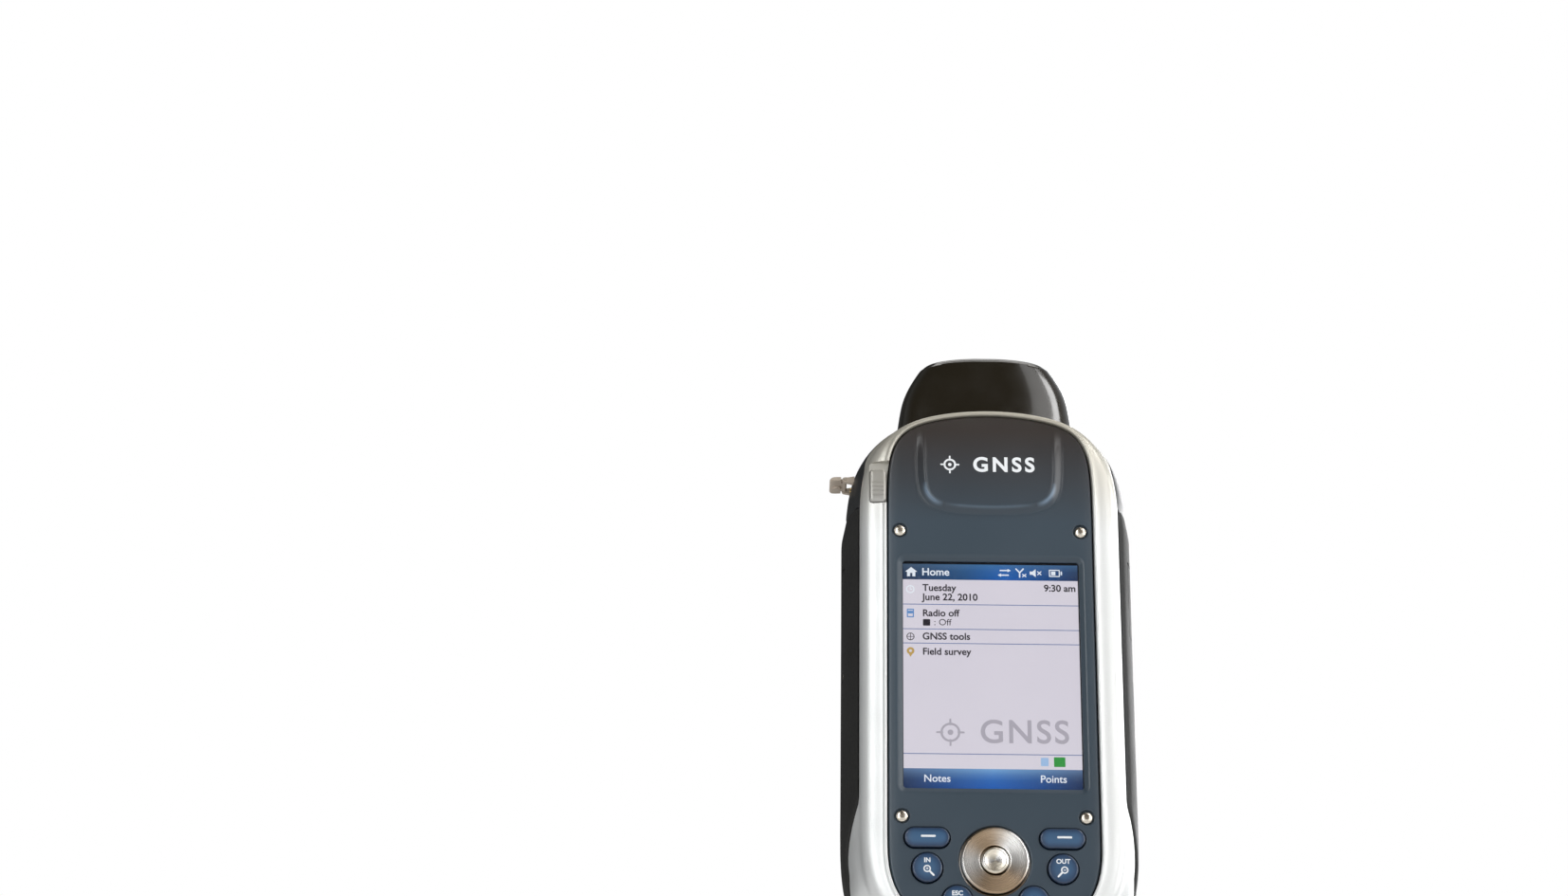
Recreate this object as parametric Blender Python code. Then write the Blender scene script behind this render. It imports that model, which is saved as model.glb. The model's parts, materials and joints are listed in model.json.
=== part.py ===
"""Rugged hand-held GNSS data collector, as an assembly of separate parts.

Design frame, in millimetres: x across, y from the front face (0) to the back, z along the length with 0 at the lower
edge of the display. World frame, in metres: +Z up along the length, the front faces -Y, and the origin is the centre
of the flat bracket face on the back.
"""

import math

import bmesh
import bpy
from mathutils import Vector
from mathutils.geometry import delaunay_2d_cdt

# ------------------------------------------------------------------ driving dimensions (mm)
MM = 0.001
Y_BACK = 42.0  # bezel face to back face
Z_MOUNT = 62.0  # height of the bracket face centre above the display's lower edge
GAP = 0.3

# right half of the two master outlines, top centre to bottom centre (x, z)
BEZEL_HALF = [
    (0, 118.9), (10, 118.3), (19.5, 116.4), (25.4, 113.6), (28.6, 109.6), (30.3, 104.6), (31.0, 98.0), (31.2, 88.0),
    (31.2, 60.0), (31.2, 30.0), (31.2, 0.0), (31.2, -16.0), (30.9, -23.5), (29.2, -30.2), (25.6, -36.0),
    (19.6, -40.4), (11.0, -42.4), (0, -42.8),
]
FRAME_HALF = [
    (0, 121.2), (10, 120.7), (20, 119.1), (27.6, 116.2), (33.0, 111.8), (36.5, 106.8), (38.6, 101.2), (39.5, 95.0),
    (39.8, 88.0), (39.8, 60.0), (39.8, 30.0), (39.8, 0.0), (39.8, -12.0), (39.4, -21.0), (37.9, -29.0),
    (34.4, -36.2), (28.0, -41.4), (19.0, -44.1), (10.0, -44.9), (0, -45.0),
]
FAN_TOP, FAN_BOTTOM = 95.0, -20.0  # centres of the top and bottom fans of rays

BEZEL_T = 1.5
DISPLAY_W, DISPLAY_H = 53.3, 71.1
SCREEN_Y = 1.8  # front of the touch glass
KEY_TRAVEL = 0.7
SOFTKEY = (19.95, -15.66, 13.3, 6.0)
ZOOM_KEY = (19.94, -24.78, 4.45)
LOW_KEY = (11.2, -34.5, 4.45)
POWER_KEY = (0.0, -38.2, 2.5)
NAV = (0.0, -22.47, 10.1)
ENTER_R = 4.05
BEZEL_SCREWS = [(-27.64, 81.07), (27.64, 81.07), (-27.26, -9.05), (27.26, -9.05)]
REAR_SCREWS = [(-26.0, 101.0), (26.0, 101.0), (-31.0, -28.0), (31.0, -28.0)]
DOOR = (-33.0, 46.0, 25.5, 5.0)  # z low, z high, half width, corner radius
DOOR_SCREWS = [(-19.5, 41.3), (19.5, 41.3)]
STYLUS = (36.0, 33.0)  # x, y of its axis
HOOD_Y = (7.4, 36.2)
JACK_Z = 100.6  # height of the aerial socket
COVER_HINGE = (-44.2, 103.2)  # x, z of the aerial cover's hinge
GRIP_Z = (-33.0, 90.5)
CARD_DOOR = (52.0, 76.0, 13.0, 25.0)  # z low, z high, y front, y back

for ob in list(bpy.data.objects):
    bpy.data.objects.remove(ob, do_unlink=True)


# ------------------------------------------------------------------ small tools
def world(x, y, z):
    return Vector((x * MM, (y - Y_BACK) * MM, (z - Z_MOUNT) * MM))


def lerp_table(table, t):
    """Piecewise linear value of t in a list of (t, value)."""
    if t <= table[0][0]:
        return table[0][1]
    for (a, va), (b, vb) in zip(table, table[1:]):
        if t <= b:
            return va + (vb - va) * (t - a) / (b - a)
    return table[-1][1]


def smooth(a, b, t):
    u = min(1.0, max(0.0, (t - a) / (b - a)))
    return u * u * (3 - 2 * u)


def catmull(points, steps):
    """Smooth open curve through the points, mirrored at both ends."""
    first = (-points[1][0], points[1][1])
    last = (-points[-2][0], points[-2][1])
    run = [first] + list(points) + [last]
    out = []
    for i in range(1, len(run) - 2):
        p0, p1, p2, p3 = run[i - 1], run[i], run[i + 1], run[i + 2]
        for k in range(steps):
            t = k / steps
            q = []
            for a, b, c, d in zip(p0, p1, p2, p3):
                q.append(0.5 * (2 * b + (c - a) * t + (2 * a - 5 * b + 4 * c - d) * t * t + (3 * b - a - 3 * c + d) * t ** 3))
            out.append(tuple(q))
    out.append(tuple(points[-1]))
    return out


BEZEL_LINE = catmull(BEZEL_HALF, 12)
FRAME_LINE = catmull(FRAME_HALF, 12)

TOP_ANGLES = [90, 76, 64, 54, 45, 37, 30, 23.5, 17.5, 11.5, 5.5]
SIDE_Z = [95, 92, 90.5, 88, 84, 66, 45, 22, 4, -4, -9, -14]
BOTTOM_ANGLES = [0, -9, -18, -27, -37, -47, -58, -70, -80, -90]


def rays():
    """(origin z, direction) of each ray of the right half, top to bottom."""
    out = [(FAN_TOP, (math.cos(math.radians(a)), math.sin(math.radians(a)))) for a in TOP_ANGLES]
    out += [(z, (1.0, 0.0)) for z in SIDE_Z]
    out += [(FAN_BOTTOM, (math.cos(math.radians(a)), math.sin(math.radians(a)))) for a in BOTTOM_ANGLES]
    return out


def hit(line, z0, d):
    """Distance along the ray to the outline, and the outline's normal there."""
    for (ax, az), (bx, bz) in zip(line, line[1:]):
        ex, ez = bx - ax, bz - az
        den = d[0] * ez - d[1] * ex
        if abs(den) < 1e-12:
            continue
        r = (ax * ez - (az - z0) * ex) / den
        s = (ax * d[1] - (az - z0) * d[0]) / den
        if r > 0 and -1e-9 <= s <= 1 + 1e-9:
            n = (-ez, ex)
            length = math.hypot(*n)
            n = (n[0] / length, n[1] / length)
            if n[0] * d[0] + n[1] * d[1] < 0:
                n = (-n[0], -n[1])
            return r, n
    raise ValueError("the ray misses the outline")


class Ray:
    """One ray, with what the sections need to know there."""

    def __init__(self, z0, d):
        self.z0, self.d = z0, d
        self.bezel, nb = hit(BEZEL_LINE, z0, d)
        self.frame, nf = hit(FRAME_LINE, z0, d)
        self.kb = 1 / max(0.55, nb[0] * d[0] + nb[1] * d[1])
        self.kf = 1 / max(0.55, nf[0] * d[0] + nf[1] * d[1])
        self.z = z0 + d[1] * self.frame
        self.end = 1 - 0.7 * d[1] ** 4 if d[1] < 0 else 1 - 0.45 * d[1] ** 4  # less swell at the two ends
        self.width = (self.frame - self.bezel) / max(self.kb, self.kf)
        self.part = 5.8 + 10.2 * smooth(-1.0, -21.0, self.z) if d[1] > -0.98 else 16.0  # depth of the parting line
        self.part += 3.4 * smooth(0.12, 0.4, d[1]) * smooth(0.95, 0.75, d[1])  # the trim wraps further round the two shoulders
        self.low = 1.3 * smooth(-22.0, -32.0, self.z) * smooth(-0.85, -0.5, d[1])  # and stands out a little at the two lower corners

    def at(self, r, mirror):
        x = self.d[0] * r
        return (-x if mirror else x), self.z0 + self.d[1] * r

    def off_bezel(self, o):
        return self.bezel + o * self.kb

    def off_frame(self, o):
        return self.frame + o * self.kf


RAYS = [Ray(*r) for r in rays()]

# swell of the outer skin beyond the frame outline, by depth
SKIN = [(3.0, -0.5), (5.8, 0.0), (8.0, 1.2), (12.0, 2.5), (16.0, 3.3), (20.0, 3.8), (28.0, 4.0), (34.0, 3.2), (38.0, 1.6),
        (40.6, -0.6), (42.0, -3.6)]
RECESS = [(6.0, 0.0), (7.5, 0.9), (10.0, 1.5), (16.0, 1.7), (30.0, 1.7), (34.0, 1.4), (36.6, 0.6), (38.0, 0.0)]
GRIP = [(6.6, 0.25), (8.0, 1.5), (12.0, 3.1), (16.0, 4.15), (20.0, 4.85), (26.0, 5.2), (31.0, 4.75), (35.6, 3.1)]


def grip_zone(z, margin):
    """1 where the side grip lies, 0 beyond its ends."""
    return 1.0 if GRIP_Z[0] - margin < z < GRIP_Z[1] + margin else 0.0


def skin(ray, y):
    swell = lerp_table(SKIN, y)
    return swell * ray.end + ray.low * smooth(5.8, 14.0, y) * smooth(28.0, 17.0, y) if y > 5.8 else swell


def housing(ray, y):
    in_grip = grip_zone(ray.z, 0.9) * (1 if ray.d[1] > -0.9 and ray.d[1] < 0.5 else 0)
    return skin(ray, y) - in_grip * lerp_table(RECESS, y)


def material(name, color, rough, metal=0.0, alpha=1.0):
    mat = bpy.data.materials.new(name)
    mat.use_nodes = True
    bsdf = mat.node_tree.nodes["Principled BSDF"]
    bsdf.inputs["Base Color"].default_value = (*color, 1.0)
    bsdf.inputs["Roughness"].default_value = rough
    bsdf.inputs["Metallic"].default_value = metal
    bsdf.inputs["Alpha"].default_value = alpha
    mat.diffuse_color = (*color, 1.0)
    return mat


MATERIALS = {
    "bezel": material("bezel_paint", (0.06, 0.08, 0.11), 0.42),
    "silver": material("silver_paint", (0.72, 0.73, 0.72), 0.32, 0.6),
    "housing": material("housing_plastic", (0.035, 0.037, 0.04), 0.55),
    "grip": material("grip_rubber", (0.05, 0.055, 0.06), 0.75),
    "hood": material("hood_gloss", (0.012, 0.011, 0.009), 0.12),
    "glass": material("touch_glass", (0.55, 0.58, 0.62), 0.06, 0.0, 0.4),
    "panel": material("display_face", (0.72, 0.68, 0.75), 0.25),
    "key": material("key_plastic", (0.03, 0.07, 0.15), 0.35),
    "spun": material("spun_metal", (0.62, 0.55, 0.46), 0.28, 1.0),
    "steel": material("stainless_steel", (0.72, 0.66, 0.56), 0.25, 1.0),
    "board": material("circuit_board", (0.03, 0.16, 0.07), 0.5),
    "can": material("tinned_can", (0.7, 0.7, 0.7), 0.3, 1.0),
    "seal": material("seal_rubber", (0.02, 0.02, 0.02), 0.8),
    "carrier": material("cast_carrier", (0.45, 0.46, 0.47), 0.45, 0.9),
    "ceramic": material("patch_ceramic", (0.72, 0.63, 0.48), 0.5),
    "battery": material("battery_wrap", (0.08, 0.08, 0.09), 0.5),
    "brass": material("gold_contact", (0.8, 0.6, 0.25), 0.25, 1.0),
    "cover": material("cover_rubber", (0.42, 0.35, 0.28), 0.7),
    "lens": material("camera_lens", (0.02, 0.02, 0.03), 0.05),
}


def finish_mesh(name, bm, mat, loc=None, parent=None, sharp=40):
    """Turns the bmesh (design millimetres) into an object; loc is its origin in design millimetres."""
    bmesh.ops.recalc_face_normals(bm, faces=bm.faces)
    volume = bm.calc_volume(signed=True)
    if volume < 0:
        bmesh.ops.reverse_faces(bm, faces=bm.faces)
    base = world(*loc) if loc else Vector((0, 0, 0))
    for v in bm.verts:
        v.co = world(*v.co) - base
    mesh = bpy.data.meshes.new(name)
    bm.to_mesh(mesh)
    bm.free()
    mesh.materials.append(MATERIALS[mat] if isinstance(mat, str) else mat)
    mesh.shade_smooth()
    mesh.set_sharp_from_angle(angle=math.radians(sharp))
    ob = bpy.data.objects.new(name, mesh)
    bpy.context.scene.collection.objects.link(ob)
    ob.location = base
    if parent:
        ob.parent = parent
        ob.location = base - parent.location
    return ob


def pivot(name, x, y, z):
    ob = bpy.data.objects.new(name, None)
    bpy.context.scene.collection.objects.link(ob)
    ob.location = world(x, y, z)
    ob.empty_display_size = 0.005
    return ob


def loft(rings, cap=True, closed=False):
    """Surface through rings of equal point counts; ends capped, or closed on itself like a tyre."""
    bm = bmesh.new()
    rows = [[bm.verts.new(p) for p in ring] for ring in rings]
    n = len(rows[0])
    pairs = list(zip(rows, rows[1:]))
    if closed:
        pairs.append((rows[-1], rows[0]))
    for a, b in pairs:
        for i in range(n):
            j = (i + 1) % n
            bm.faces.new((a[i], a[j], b[j], b[i]))
    if cap and not closed:
        bm.faces.new(rows[0][::-1])
        bm.faces.new(rows[-1])
    return bm


def circle(cx, cz, r, n, phase=0.0):
    return [(cx + r * math.cos(2 * math.pi * (i + phase) / n), cz + r * math.sin(2 * math.pi * (i + phase) / n)) for i in range(n)]


def rounded(x0, x1, z0, z1, r, n=3):
    """Rounded rectangle, counter-clockwise."""
    out = []
    for cx, cz, a0 in ((x1 - r, z0 + r, -90), (x1 - r, z1 - r, 0), (x0 + r, z1 - r, 90), (x0 + r, z0 + r, 180)):
        for k in range(n + 1):
            a = math.radians(a0 + 90 * k / n)
            out.append((cx + r * math.cos(a), cz + r * math.sin(a)))
    return out


def stadium(cx, cz, w, h, n=6):
    return rounded(cx - w / 2, cx + w / 2, cz - h / 2, cz + h / 2, min(w, h) / 2 - 1e-4, n)


def shrink(loop, d):
    """Counter-clockwise loop moved inwards by d."""
    n = len(loop)
    out = []
    for i in range(n):
        (ax, az), (bx, bz), (cx, cz) = loop[i - 1], loop[i], loop[(i + 1) % n]
        e1, e2 = Vector((bx - ax, bz - az)), Vector((cx - bx, cz - bz))
        n1, n2 = Vector((-e1.y, e1.x)).normalized(), Vector((-e2.y, e2.x)).normalized()
        m = n1 + n2
        m = m / max(0.5, m.length_squared / 2)
        out.append((bx + m.x * d, bz + m.y * d))
    return out


def inside(loop, x, z):
    odd = False
    for (ax, az), (bx, bz) in zip(loop, loop[1:] + loop[:1]):
        if (az > z) != (bz > z) and x < (bx - ax) * (z - az) / (bz - az) + ax:
            odd = not odd
    return odd


def plate(outline, holes, rim, hole_rims=None, extra=(), height=None):
    """Flat plate with holes. rim is [(inset, y), ...] from the front edge to the back edge; each hole has such a list
    too. extra loops are drawn on the front face, and height(x, z) lifts front points."""
    hole_rims = hole_rims or [rim] * len(holes)
    bm = bmesh.new()
    loops = [(outline, rim, 1)] + [(h, r, -1) for h, r in zip(holes, hole_rims)]
    rows = []
    for loop, rim_of, sign in loops:
        made = []
        for inset, y in rim_of:
            pts = shrink(loop, inset * sign)
            made.append([bm.verts.new((x, y, z)) for x, z in pts])
        rows.append(made)
        for a, b in zip(made, made[1:]):
            for i in range(len(a)):
                j = (i + 1) % len(a)
                bm.faces.new((a[i], a[j], b[j], b[i]))
    for end in (0, -1):
        verts = [v for made in rows for v in made[end]]
        pts = [Vector((v.co.x, v.co.z)) for v in verts]
        sets, edges = [], []
        for made in rows:
            base = sum(len(s) for s in sets)
            sets.append(made[end])
            edges += [(base + i, base + (i + 1) % len(made[end])) for i in range(len(made[end]))]
        if end == 0:
            y = rim[0][1]
            for loop in extra:
                base = len(pts)
                pts += [Vector(p) for p in loop]
                verts += [bm.verts.new((p[0], y, p[1])) for p in loop]
                edges += [(base + i, base + (i + 1) % len(loop)) for i in range(len(loop))]
        got, _, faces, _, _, _ = delaunay_2d_cdt(pts, edges, [], 0, 1e-7, False)
        if len(got) != len(pts):
            raise ValueError("loops cross: %d points in, %d out" % (len(pts), len(got)))
        near = {tuple(round(c, 5) for c in p): v for p, v in zip(pts, verts)}
        order = [near[tuple(round(c, 5) for c in p)] for p in got]
        border = [(v.co.x, v.co.z) for v in rows[0][end]]
        cuts = [[(v.co.x, v.co.z) for v in made[end]] for made in rows[1:]]
        for f in faces:
            cx = sum(order[i].co.x for i in f) / len(f)
            cz = sum(order[i].co.z for i in f) / len(f)
            if inside(border, cx, cz) and not any(inside(c, cx, cz) for c in cuts):
                bm.faces.new([order[i] for i in f])
        if end == 0 and height:
            for v in verts:
                v.co.y -= height(v.co.x, v.co.z)
    return bm


def lathe(cx, cz, profile, n, bore=False):
    """Turned piece with its axis along y: profile is [(r, y), ...]; a bored one closes on itself."""
    rings = [[(x, y, z) for x, z in circle(cx, cz, r, n)] for r, y in profile]
    return loft(rings, cap=not bore, closed=bore)


def block(x0, x1, y0, y1, z0, z1):
    rings = [[(x0, y, z0), (x1, y, z0), (x1, y, z1), (x0, y, z1)] for y in (y0, y1)]
    return loft(rings)


def soft_block(x0, x1, y0, y1, z0, z1, r=1.0, n=2):
    loop = rounded(x0, x1, z0, z1, r, n)
    return loft([[(x, y, z) for x, z in loop] for y in (y0, y1)])


def rod(axis, a, b, c0, c1, r, n):
    """Cylinder along an axis letter; a, b are the other two coordinates in x, y, z order."""
    rings = []
    for c in (c0, c1):
        ring = []
        for i in range(n):
            u, v = a + r * math.cos(2 * math.pi * i / n), b + r * math.sin(2 * math.pi * i / n)
            ring.append({"x": (c, u, v), "y": (u, c, v), "z": (u, v, c)}[axis])
        rings.append(ring)
    return loft(rings)


def cut(target, bm, operation="DIFFERENCE"):
    cutter = finish_mesh(target.name + "_tool_%d" % len(target.modifiers), bm, "seal")
    cutter.hide_render = True
    cutter.display_type = "WIRE"
    mod = target.modifiers.new("cut_%d" % len(target.modifiers), "BOOLEAN")
    mod.object = cutter
    mod.operation = operation
    mod.solver = "EXACT"
    return cutter


def merged(*pieces):
    """Several separate closed bodies in one bmesh."""
    out = bmesh.new()
    for bm in pieces:
        mesh = bpy.data.meshes.new("part")
        bm.to_mesh(mesh)
        bm.free()
        out.from_mesh(mesh)
        bpy.data.meshes.remove(mesh)
    return out


def around(make):
    """Full ring: the right half's points, then the left half's, from a function of the ray."""
    right = [r.at(make(r), False) for r in RAYS]
    left = [r.at(make(r), True) for r in RAYS[1:-1]][::-1]
    return right + left


def around3(make):
    """As around, but make returns (distance, y)."""
    out = []
    for r, mirror in [(r, False) for r in RAYS] + [(r, True) for r in RAYS[1:-1]][::-1]:
        d, y = make(r)
        x, z = r.at(d, mirror)
        out.append((x, y, z))
    return out


# ------------------------------------------------------------------ front bezel
bezel_loop = around(lambda r: r.off_bezel(0))[::-1]

boss_half = [(0, 86.6), (9, 87.0), (15.5, 88.0), (19.2, 90.4), (21.0, 94.5), (21.8, 100), (21.9, 108), (19.5, 112.6), (10, 114.8), (0, 115.4)]
boss_base = [(x, z) for x, z in boss_half] + [(-x, z) for x, z in boss_half[1:-1]][::-1]
boss_crest = shrink(boss_base, 2.2)


def boss_height(x, z):
    if not inside(shrink(boss_base, 1.0), x, z):
        return 0.0
    return 1.2 * (1 - smooth(104, 113, z))


key_holes = [
    stadium(-SOFTKEY[0], SOFTKEY[1], SOFTKEY[2] + 0.6, SOFTKEY[3] + 0.6),
    stadium(SOFTKEY[0], SOFTKEY[1], SOFTKEY[2] + 0.6, SOFTKEY[3] + 0.6),
    circle(-ZOOM_KEY[0], ZOOM_KEY[1], ZOOM_KEY[2] + 0.3, 20),
    circle(ZOOM_KEY[0], ZOOM_KEY[1], ZOOM_KEY[2] + 0.3, 20),
    circle(-LOW_KEY[0], LOW_KEY[1], LOW_KEY[2] + 0.3, 20),
    circle(LOW_KEY[0], LOW_KEY[1], LOW_KEY[2] + 0.3, 20),
    circle(POWER_KEY[0], POWER_KEY[1], POWER_KEY[2] + 0.3, 16),
    circle(NAV[0], NAV[1], NAV[2] + 0.45, 32),
]
screw_holes = [circle(x, z, 2.35, 12) for x, z in BEZEL_SCREWS]
window = rounded(-DISPLAY_W / 2 - 0.25, DISPLAY_W / 2 + 0.25, -0.3, DISPLAY_H + 0.3, 1.0, 2)
straight = [(0, 0.0), (0, BEZEL_T)]
bezel = finish_mesh(
    "front_bezel",
    plate(
        bezel_loop,
        key_holes + screw_holes + [window],
        [(0.5, 0.0), (0, 0.5), (0, BEZEL_T)],
        [straight] * len(key_holes) + [[(0, 0.0), (0, 1.0), (-1.05, 1.0), (-1.05, BEZEL_T)]] * 4 + [[(1.6, 0.0), (0, 1.0), (0, BEZEL_T)]],
        extra=[boss_base, boss_crest],
        height=boss_height,
    ),
    "bezel",
)

# ------------------------------------------------------------------ silver frame: one swept ring
def frame_rings():
    def outer(t):
        """Point on the outer skin, t from 0 (depth 3) to 1 (the parting line)."""
        def make(r):
            y = 3.0 + (r.part - 3.0) * t
            swell = skin(r, y)
            if y <= 5.8:
                swell = max(swell, -0.16 * r.width + 0.0) if swell < 0 else swell
            return r.off_frame(swell), y
        return make

    rows = [
        lambda r: (r.off_bezel(0.45), 3.2),
        lambda r: (r.off_bezel(0.45), -0.5),
        lambda r: (r.off_bezel(0.8), -0.75),
        lambda r: (r.off_bezel(1.3), -0.6),
        lambda r: (r.off_bezel(1.6), -0.25),
        lambda r: (0.5 * r.off_bezel(1.6) + 0.5 * r.off_frame(-min(1.7, 0.3 * r.width)), 0.15),
        lambda r: (r.off_frame(-min(1.7, 0.25 * r.width)), 1.1),
        outer(0.0), outer(0.25), outer(0.5), outer(0.75), outer(1.0),
        lambda r: (r.off_frame(skin(r, r.part) - min(1.8, 0.42 * r.width)), r.part),
        lambda r: (max(r.off_bezel(0.95), r.off_frame(-2.2)), 4.4),
    ]
    return [around3(make) for make in rows]


silver = finish_mesh("silver_frame", loft(frame_rings(), closed=True), "silver")
cut(silver, block(-37.2, -29.5, -3.0, 1.7, 89.8, 103.7))

# ------------------------------------------------------------------ rear housing: double-walled cup
WALL = 2.0
def housing_rings():
    def outer(t):
        def make(r):
            y = r.part + GAP + (38.0 - r.part - GAP) * t
            return r.off_frame(housing(r, y)), y
        return make

    def inner(t):
        def make(r):
            y = r.part + GAP + (38.0 - r.part - GAP) * t
            return r.off_frame(housing(r, y) - WALL), min(y, 37.4)
        return make

    steps = [0, 0.06, 0.16, 0.32, 0.5, 0.72, 0.87, 0.95, 1.0]
    inner_steps = [0, 0.16, 0.5, 0.87, 1.0]
    rows = [around3(lambda r: (r.off_frame(-6.5), Y_BACK - WALL)), around3(lambda r: (r.off_frame(-3.2), Y_BACK - WALL - 1.2))]
    rows += [around3(inner(t)) for t in inner_steps[::-1]]
    rows += [around3(outer(t)) for t in steps]
    rows += [around3(lambda r: (r.off_frame(-0.6), 40.6)), around3(lambda r: (r.off_frame(-3.6), Y_BACK))]
    return rows


rear = finish_mesh("rear_housing", loft(housing_rings()), "housing")
zl, zh, hw, cr = DOOR
opening = rounded(-hw - 0.35, hw + 0.35, zl - 0.35, zh + 0.35, cr, 3)
tools = [loft([[(x, y, z) for x, z in opening] for y in (38.5, 44.0)])]
tools += [lathe(x, z, [(2.8, 41.0), (2.8, 44.0)], 16) for x, z in REAR_SCREWS]
tools += [lathe(0.0, 97.0, [(5.3, 38.5), (5.3, 44.0)], 20)]
tools += [soft_block(-21.5 + 0, -9.5, 38.5, 44.0, z - 0.9, z + 0.9, 0.85, 2) for z in (82.0, 86.0, 90.0)]
cut(rear, merged(*tools))
tools = [rod("y", x, z, 37.0, 42.5, 1.5, 10) for x, z in REAR_SCREWS]
tools += [rod("z", STYLUS[0], STYLUS[1], 98.0, 128.0, 3.5, 16)]
tools += [rod("x", 20.0, JACK_Z, -50.0, -36.5, 2.25, 16)]
tools += [rod("x", 20.0, 40.0, -50.0, -38.0, 1.0, 10), rod("x", 20.0, 40.0, 38.0, 50.0, 1.0, 10)]
tools += [block(36.5, 50.0, 15.2, 22.6, 53.0, 75.0)]
tools += [soft_block(-9.3, 9.3, 19.0, 27.0, -55.0, -41.0, 0.9, 2)]
cut(rear, merged(*tools))

# ------------------------------------------------------------------ side grips
def grip(mirror, z0, z1, y0=None, y1=35.6, thin=None, steps=(0, 0.05, 0.2, 0.4, 0.65, 0.85, 1.0)):
    """Rubber shell on the side, between two heights; its front edge follows the parting line."""
    stations = [r for r in RAYS if z0 - 0.01 <= r.z <= z1 + 0.01 and -0.9 < r.d[1] < 0.5]
    rings = []
    for r in stations:
        end = min(smooth(z0 - 2.5, z0 + 5.0, r.z), smooth(z1 + 2.5, z1 - 6.0, r.z)) if thin is None else 1.0
        front = r.part + 0.8 if y0 is None else y0
        ring = []
        for t in steps:
            y = front + (y1 - front) * t
            low, high = housing(r, y) + 0.3, lerp_table(GRIP, y) * r.end
            skin_here = skin(r, y) + 0.05
            ring.append((r.off_frame(skin_here + (high - skin_here) * end if high > skin_here else max(high, low + 0.35)), y))
        back = []
        for t in steps[::-1]:
            y = front + (y1 - front) * t
            low = housing(r, y) + 0.3
            if thin is not None:
                low = lerp_table(GRIP, y) * r.end - thin
            back.append((r.off_frame(low), y))
        rings.append([(r.at(d, mirror)[0], y, r.at(d, mirror)[1]) for d, y in ring + back])
    return loft(rings)


grip_left = finish_mesh("side_grip_left", grip(True, *GRIP_Z), "grip")
grip_right = finish_mesh("side_grip_right", grip(False, *GRIP_Z), "grip")
cut(grip_left, rod("x", 20.0, 40.0, -50.0, -39.0, 1.95, 14))
dz0, dz1, dy0, dy1 = CARD_DOOR
cut(grip_right, merged(rod("x", 20.0, 40.0, 39.0, 50.0, 1.95, 14), block(38.0, 52.0, dy0 - GAP, dy1 + GAP, dz0 - GAP, dz1 + GAP)))


def door_panel():
    """Hatch in the right grip: its outer face follows the grip."""
    rows = []
    ys = [dy0 + (dy1 - dy0) * k / 4 for k in range(5)]
    for z in (dz0, dz1):
        outer = [(39.8 + lerp_table(GRIP, y), y, z) for y in ys]
        inner = [(39.8 + lerp_table(GRIP, y) - 1.5, y, z) for y in ys[::-1]]
        rows.append(outer + inner)
    return loft(rows)


card_x = 39.8 + lerp_table(GRIP, dy1)
card_axis = pivot("card_door_axis", card_x, dy1, 0.5 * (dz0 + dz1))
finish_mesh("card_door", door_panel(), "grip", (card_x, dy1, 0.5 * (dz0 + dz1)), card_axis)


def side_screw(sign):
    x_out = 39.8 + 4.85 - 0.25
    prof = [(0.75, 36.5), (0.75, x_out - 1.0), (1.6, x_out - 1.0), (1.6, x_out - 0.2), (1.2, x_out)]
    rings = [[(sign * c, 20.0 + r * math.cos(2 * math.pi * i / 14), 40.0 + r * math.sin(2 * math.pi * i / 14)) for i in range(14)] for r, c in prof]
    return loft(rings)


finish_mesh("strap_screw_left", side_screw(-1), "steel")
finish_mesh("strap_screw_right", side_screw(1), "steel")

# ------------------------------------------------------------------ antenna hood
def top_of_housing(x, y):
    """Height of the outer skin at the top end, for |x| < 30."""
    best = None
    for r, q in zip(RAYS, RAYS[1:]):
        ax, az = r.at(r.off_frame(skin(r, y)), False)
        bx, bz = q.at(q.off_frame(skin(q, y)), False)
        if ax <= abs(x) <= bx:
            best = az + (bz - az) * (abs(x) - ax) / (bx - ax)
            break
    return best


def hood_half_width(z):
    return lerp_table([(114, 28.1), (120, 27.4), (123.5, 26.95), (127.1, 26.4), (130.4, 25.6), (134.5, 24.1), (138.6, 22.1), (141.9, 20.2)], z)


def hood_ring(level, inset, n=28, power=4.5):
    """level 0 is the rim on the housing, 1 the start of the crown."""
    ring = []
    for i in range(n):
        a = 2 * math.pi * (i + 0.5) / n
        c, s = math.cos(a), math.sin(a)
        c = math.copysign(abs(c) ** (2 / power), c)
        s = math.copysign(abs(s) ** (2 / power), s)
        y0, y1 = HOOD_Y[0] + 4.0 * level, HOOD_Y[1] - 3.0 * level
        yc, hd = 0.5 * (y0 + y1), 0.5 * (y1 - y0) - inset
        z_level = 141.9
        w = hood_half_width(117.0 + (z_level - 117.0) * level) - inset
        x, y = w * c, yc + hd * s
        crown = 2.0 * (1 - (x / 20.0) ** 2) * level
        rim = top_of_housing(x, max(6.5, y)) + 0.65
        z = rim + (z_level + crown - rim) * level if level > 0 else rim
        if 0 < level:
            z = max(z, rim + 0.8)
        ring.append((x, y, z))
    return ring


def hood_cap(scale, lift, inset, n=28, power=4.5):
    base = hood_ring(1.0, inset, n, power)
    cx, cy = 0.0, sum(p[1] for p in base) / n
    out = []
    for x, y, z in base:
        nx, ny = cx + (x - cx) * scale, cy + (y - cy) * scale
        out.append((nx, ny, 143.3 + 1.9 * (1 - (nx / 20.0) ** 2) - 1.4 + lift - 1.3 * ((ny - cy) / 12.5) ** 2))
    return out


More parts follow.
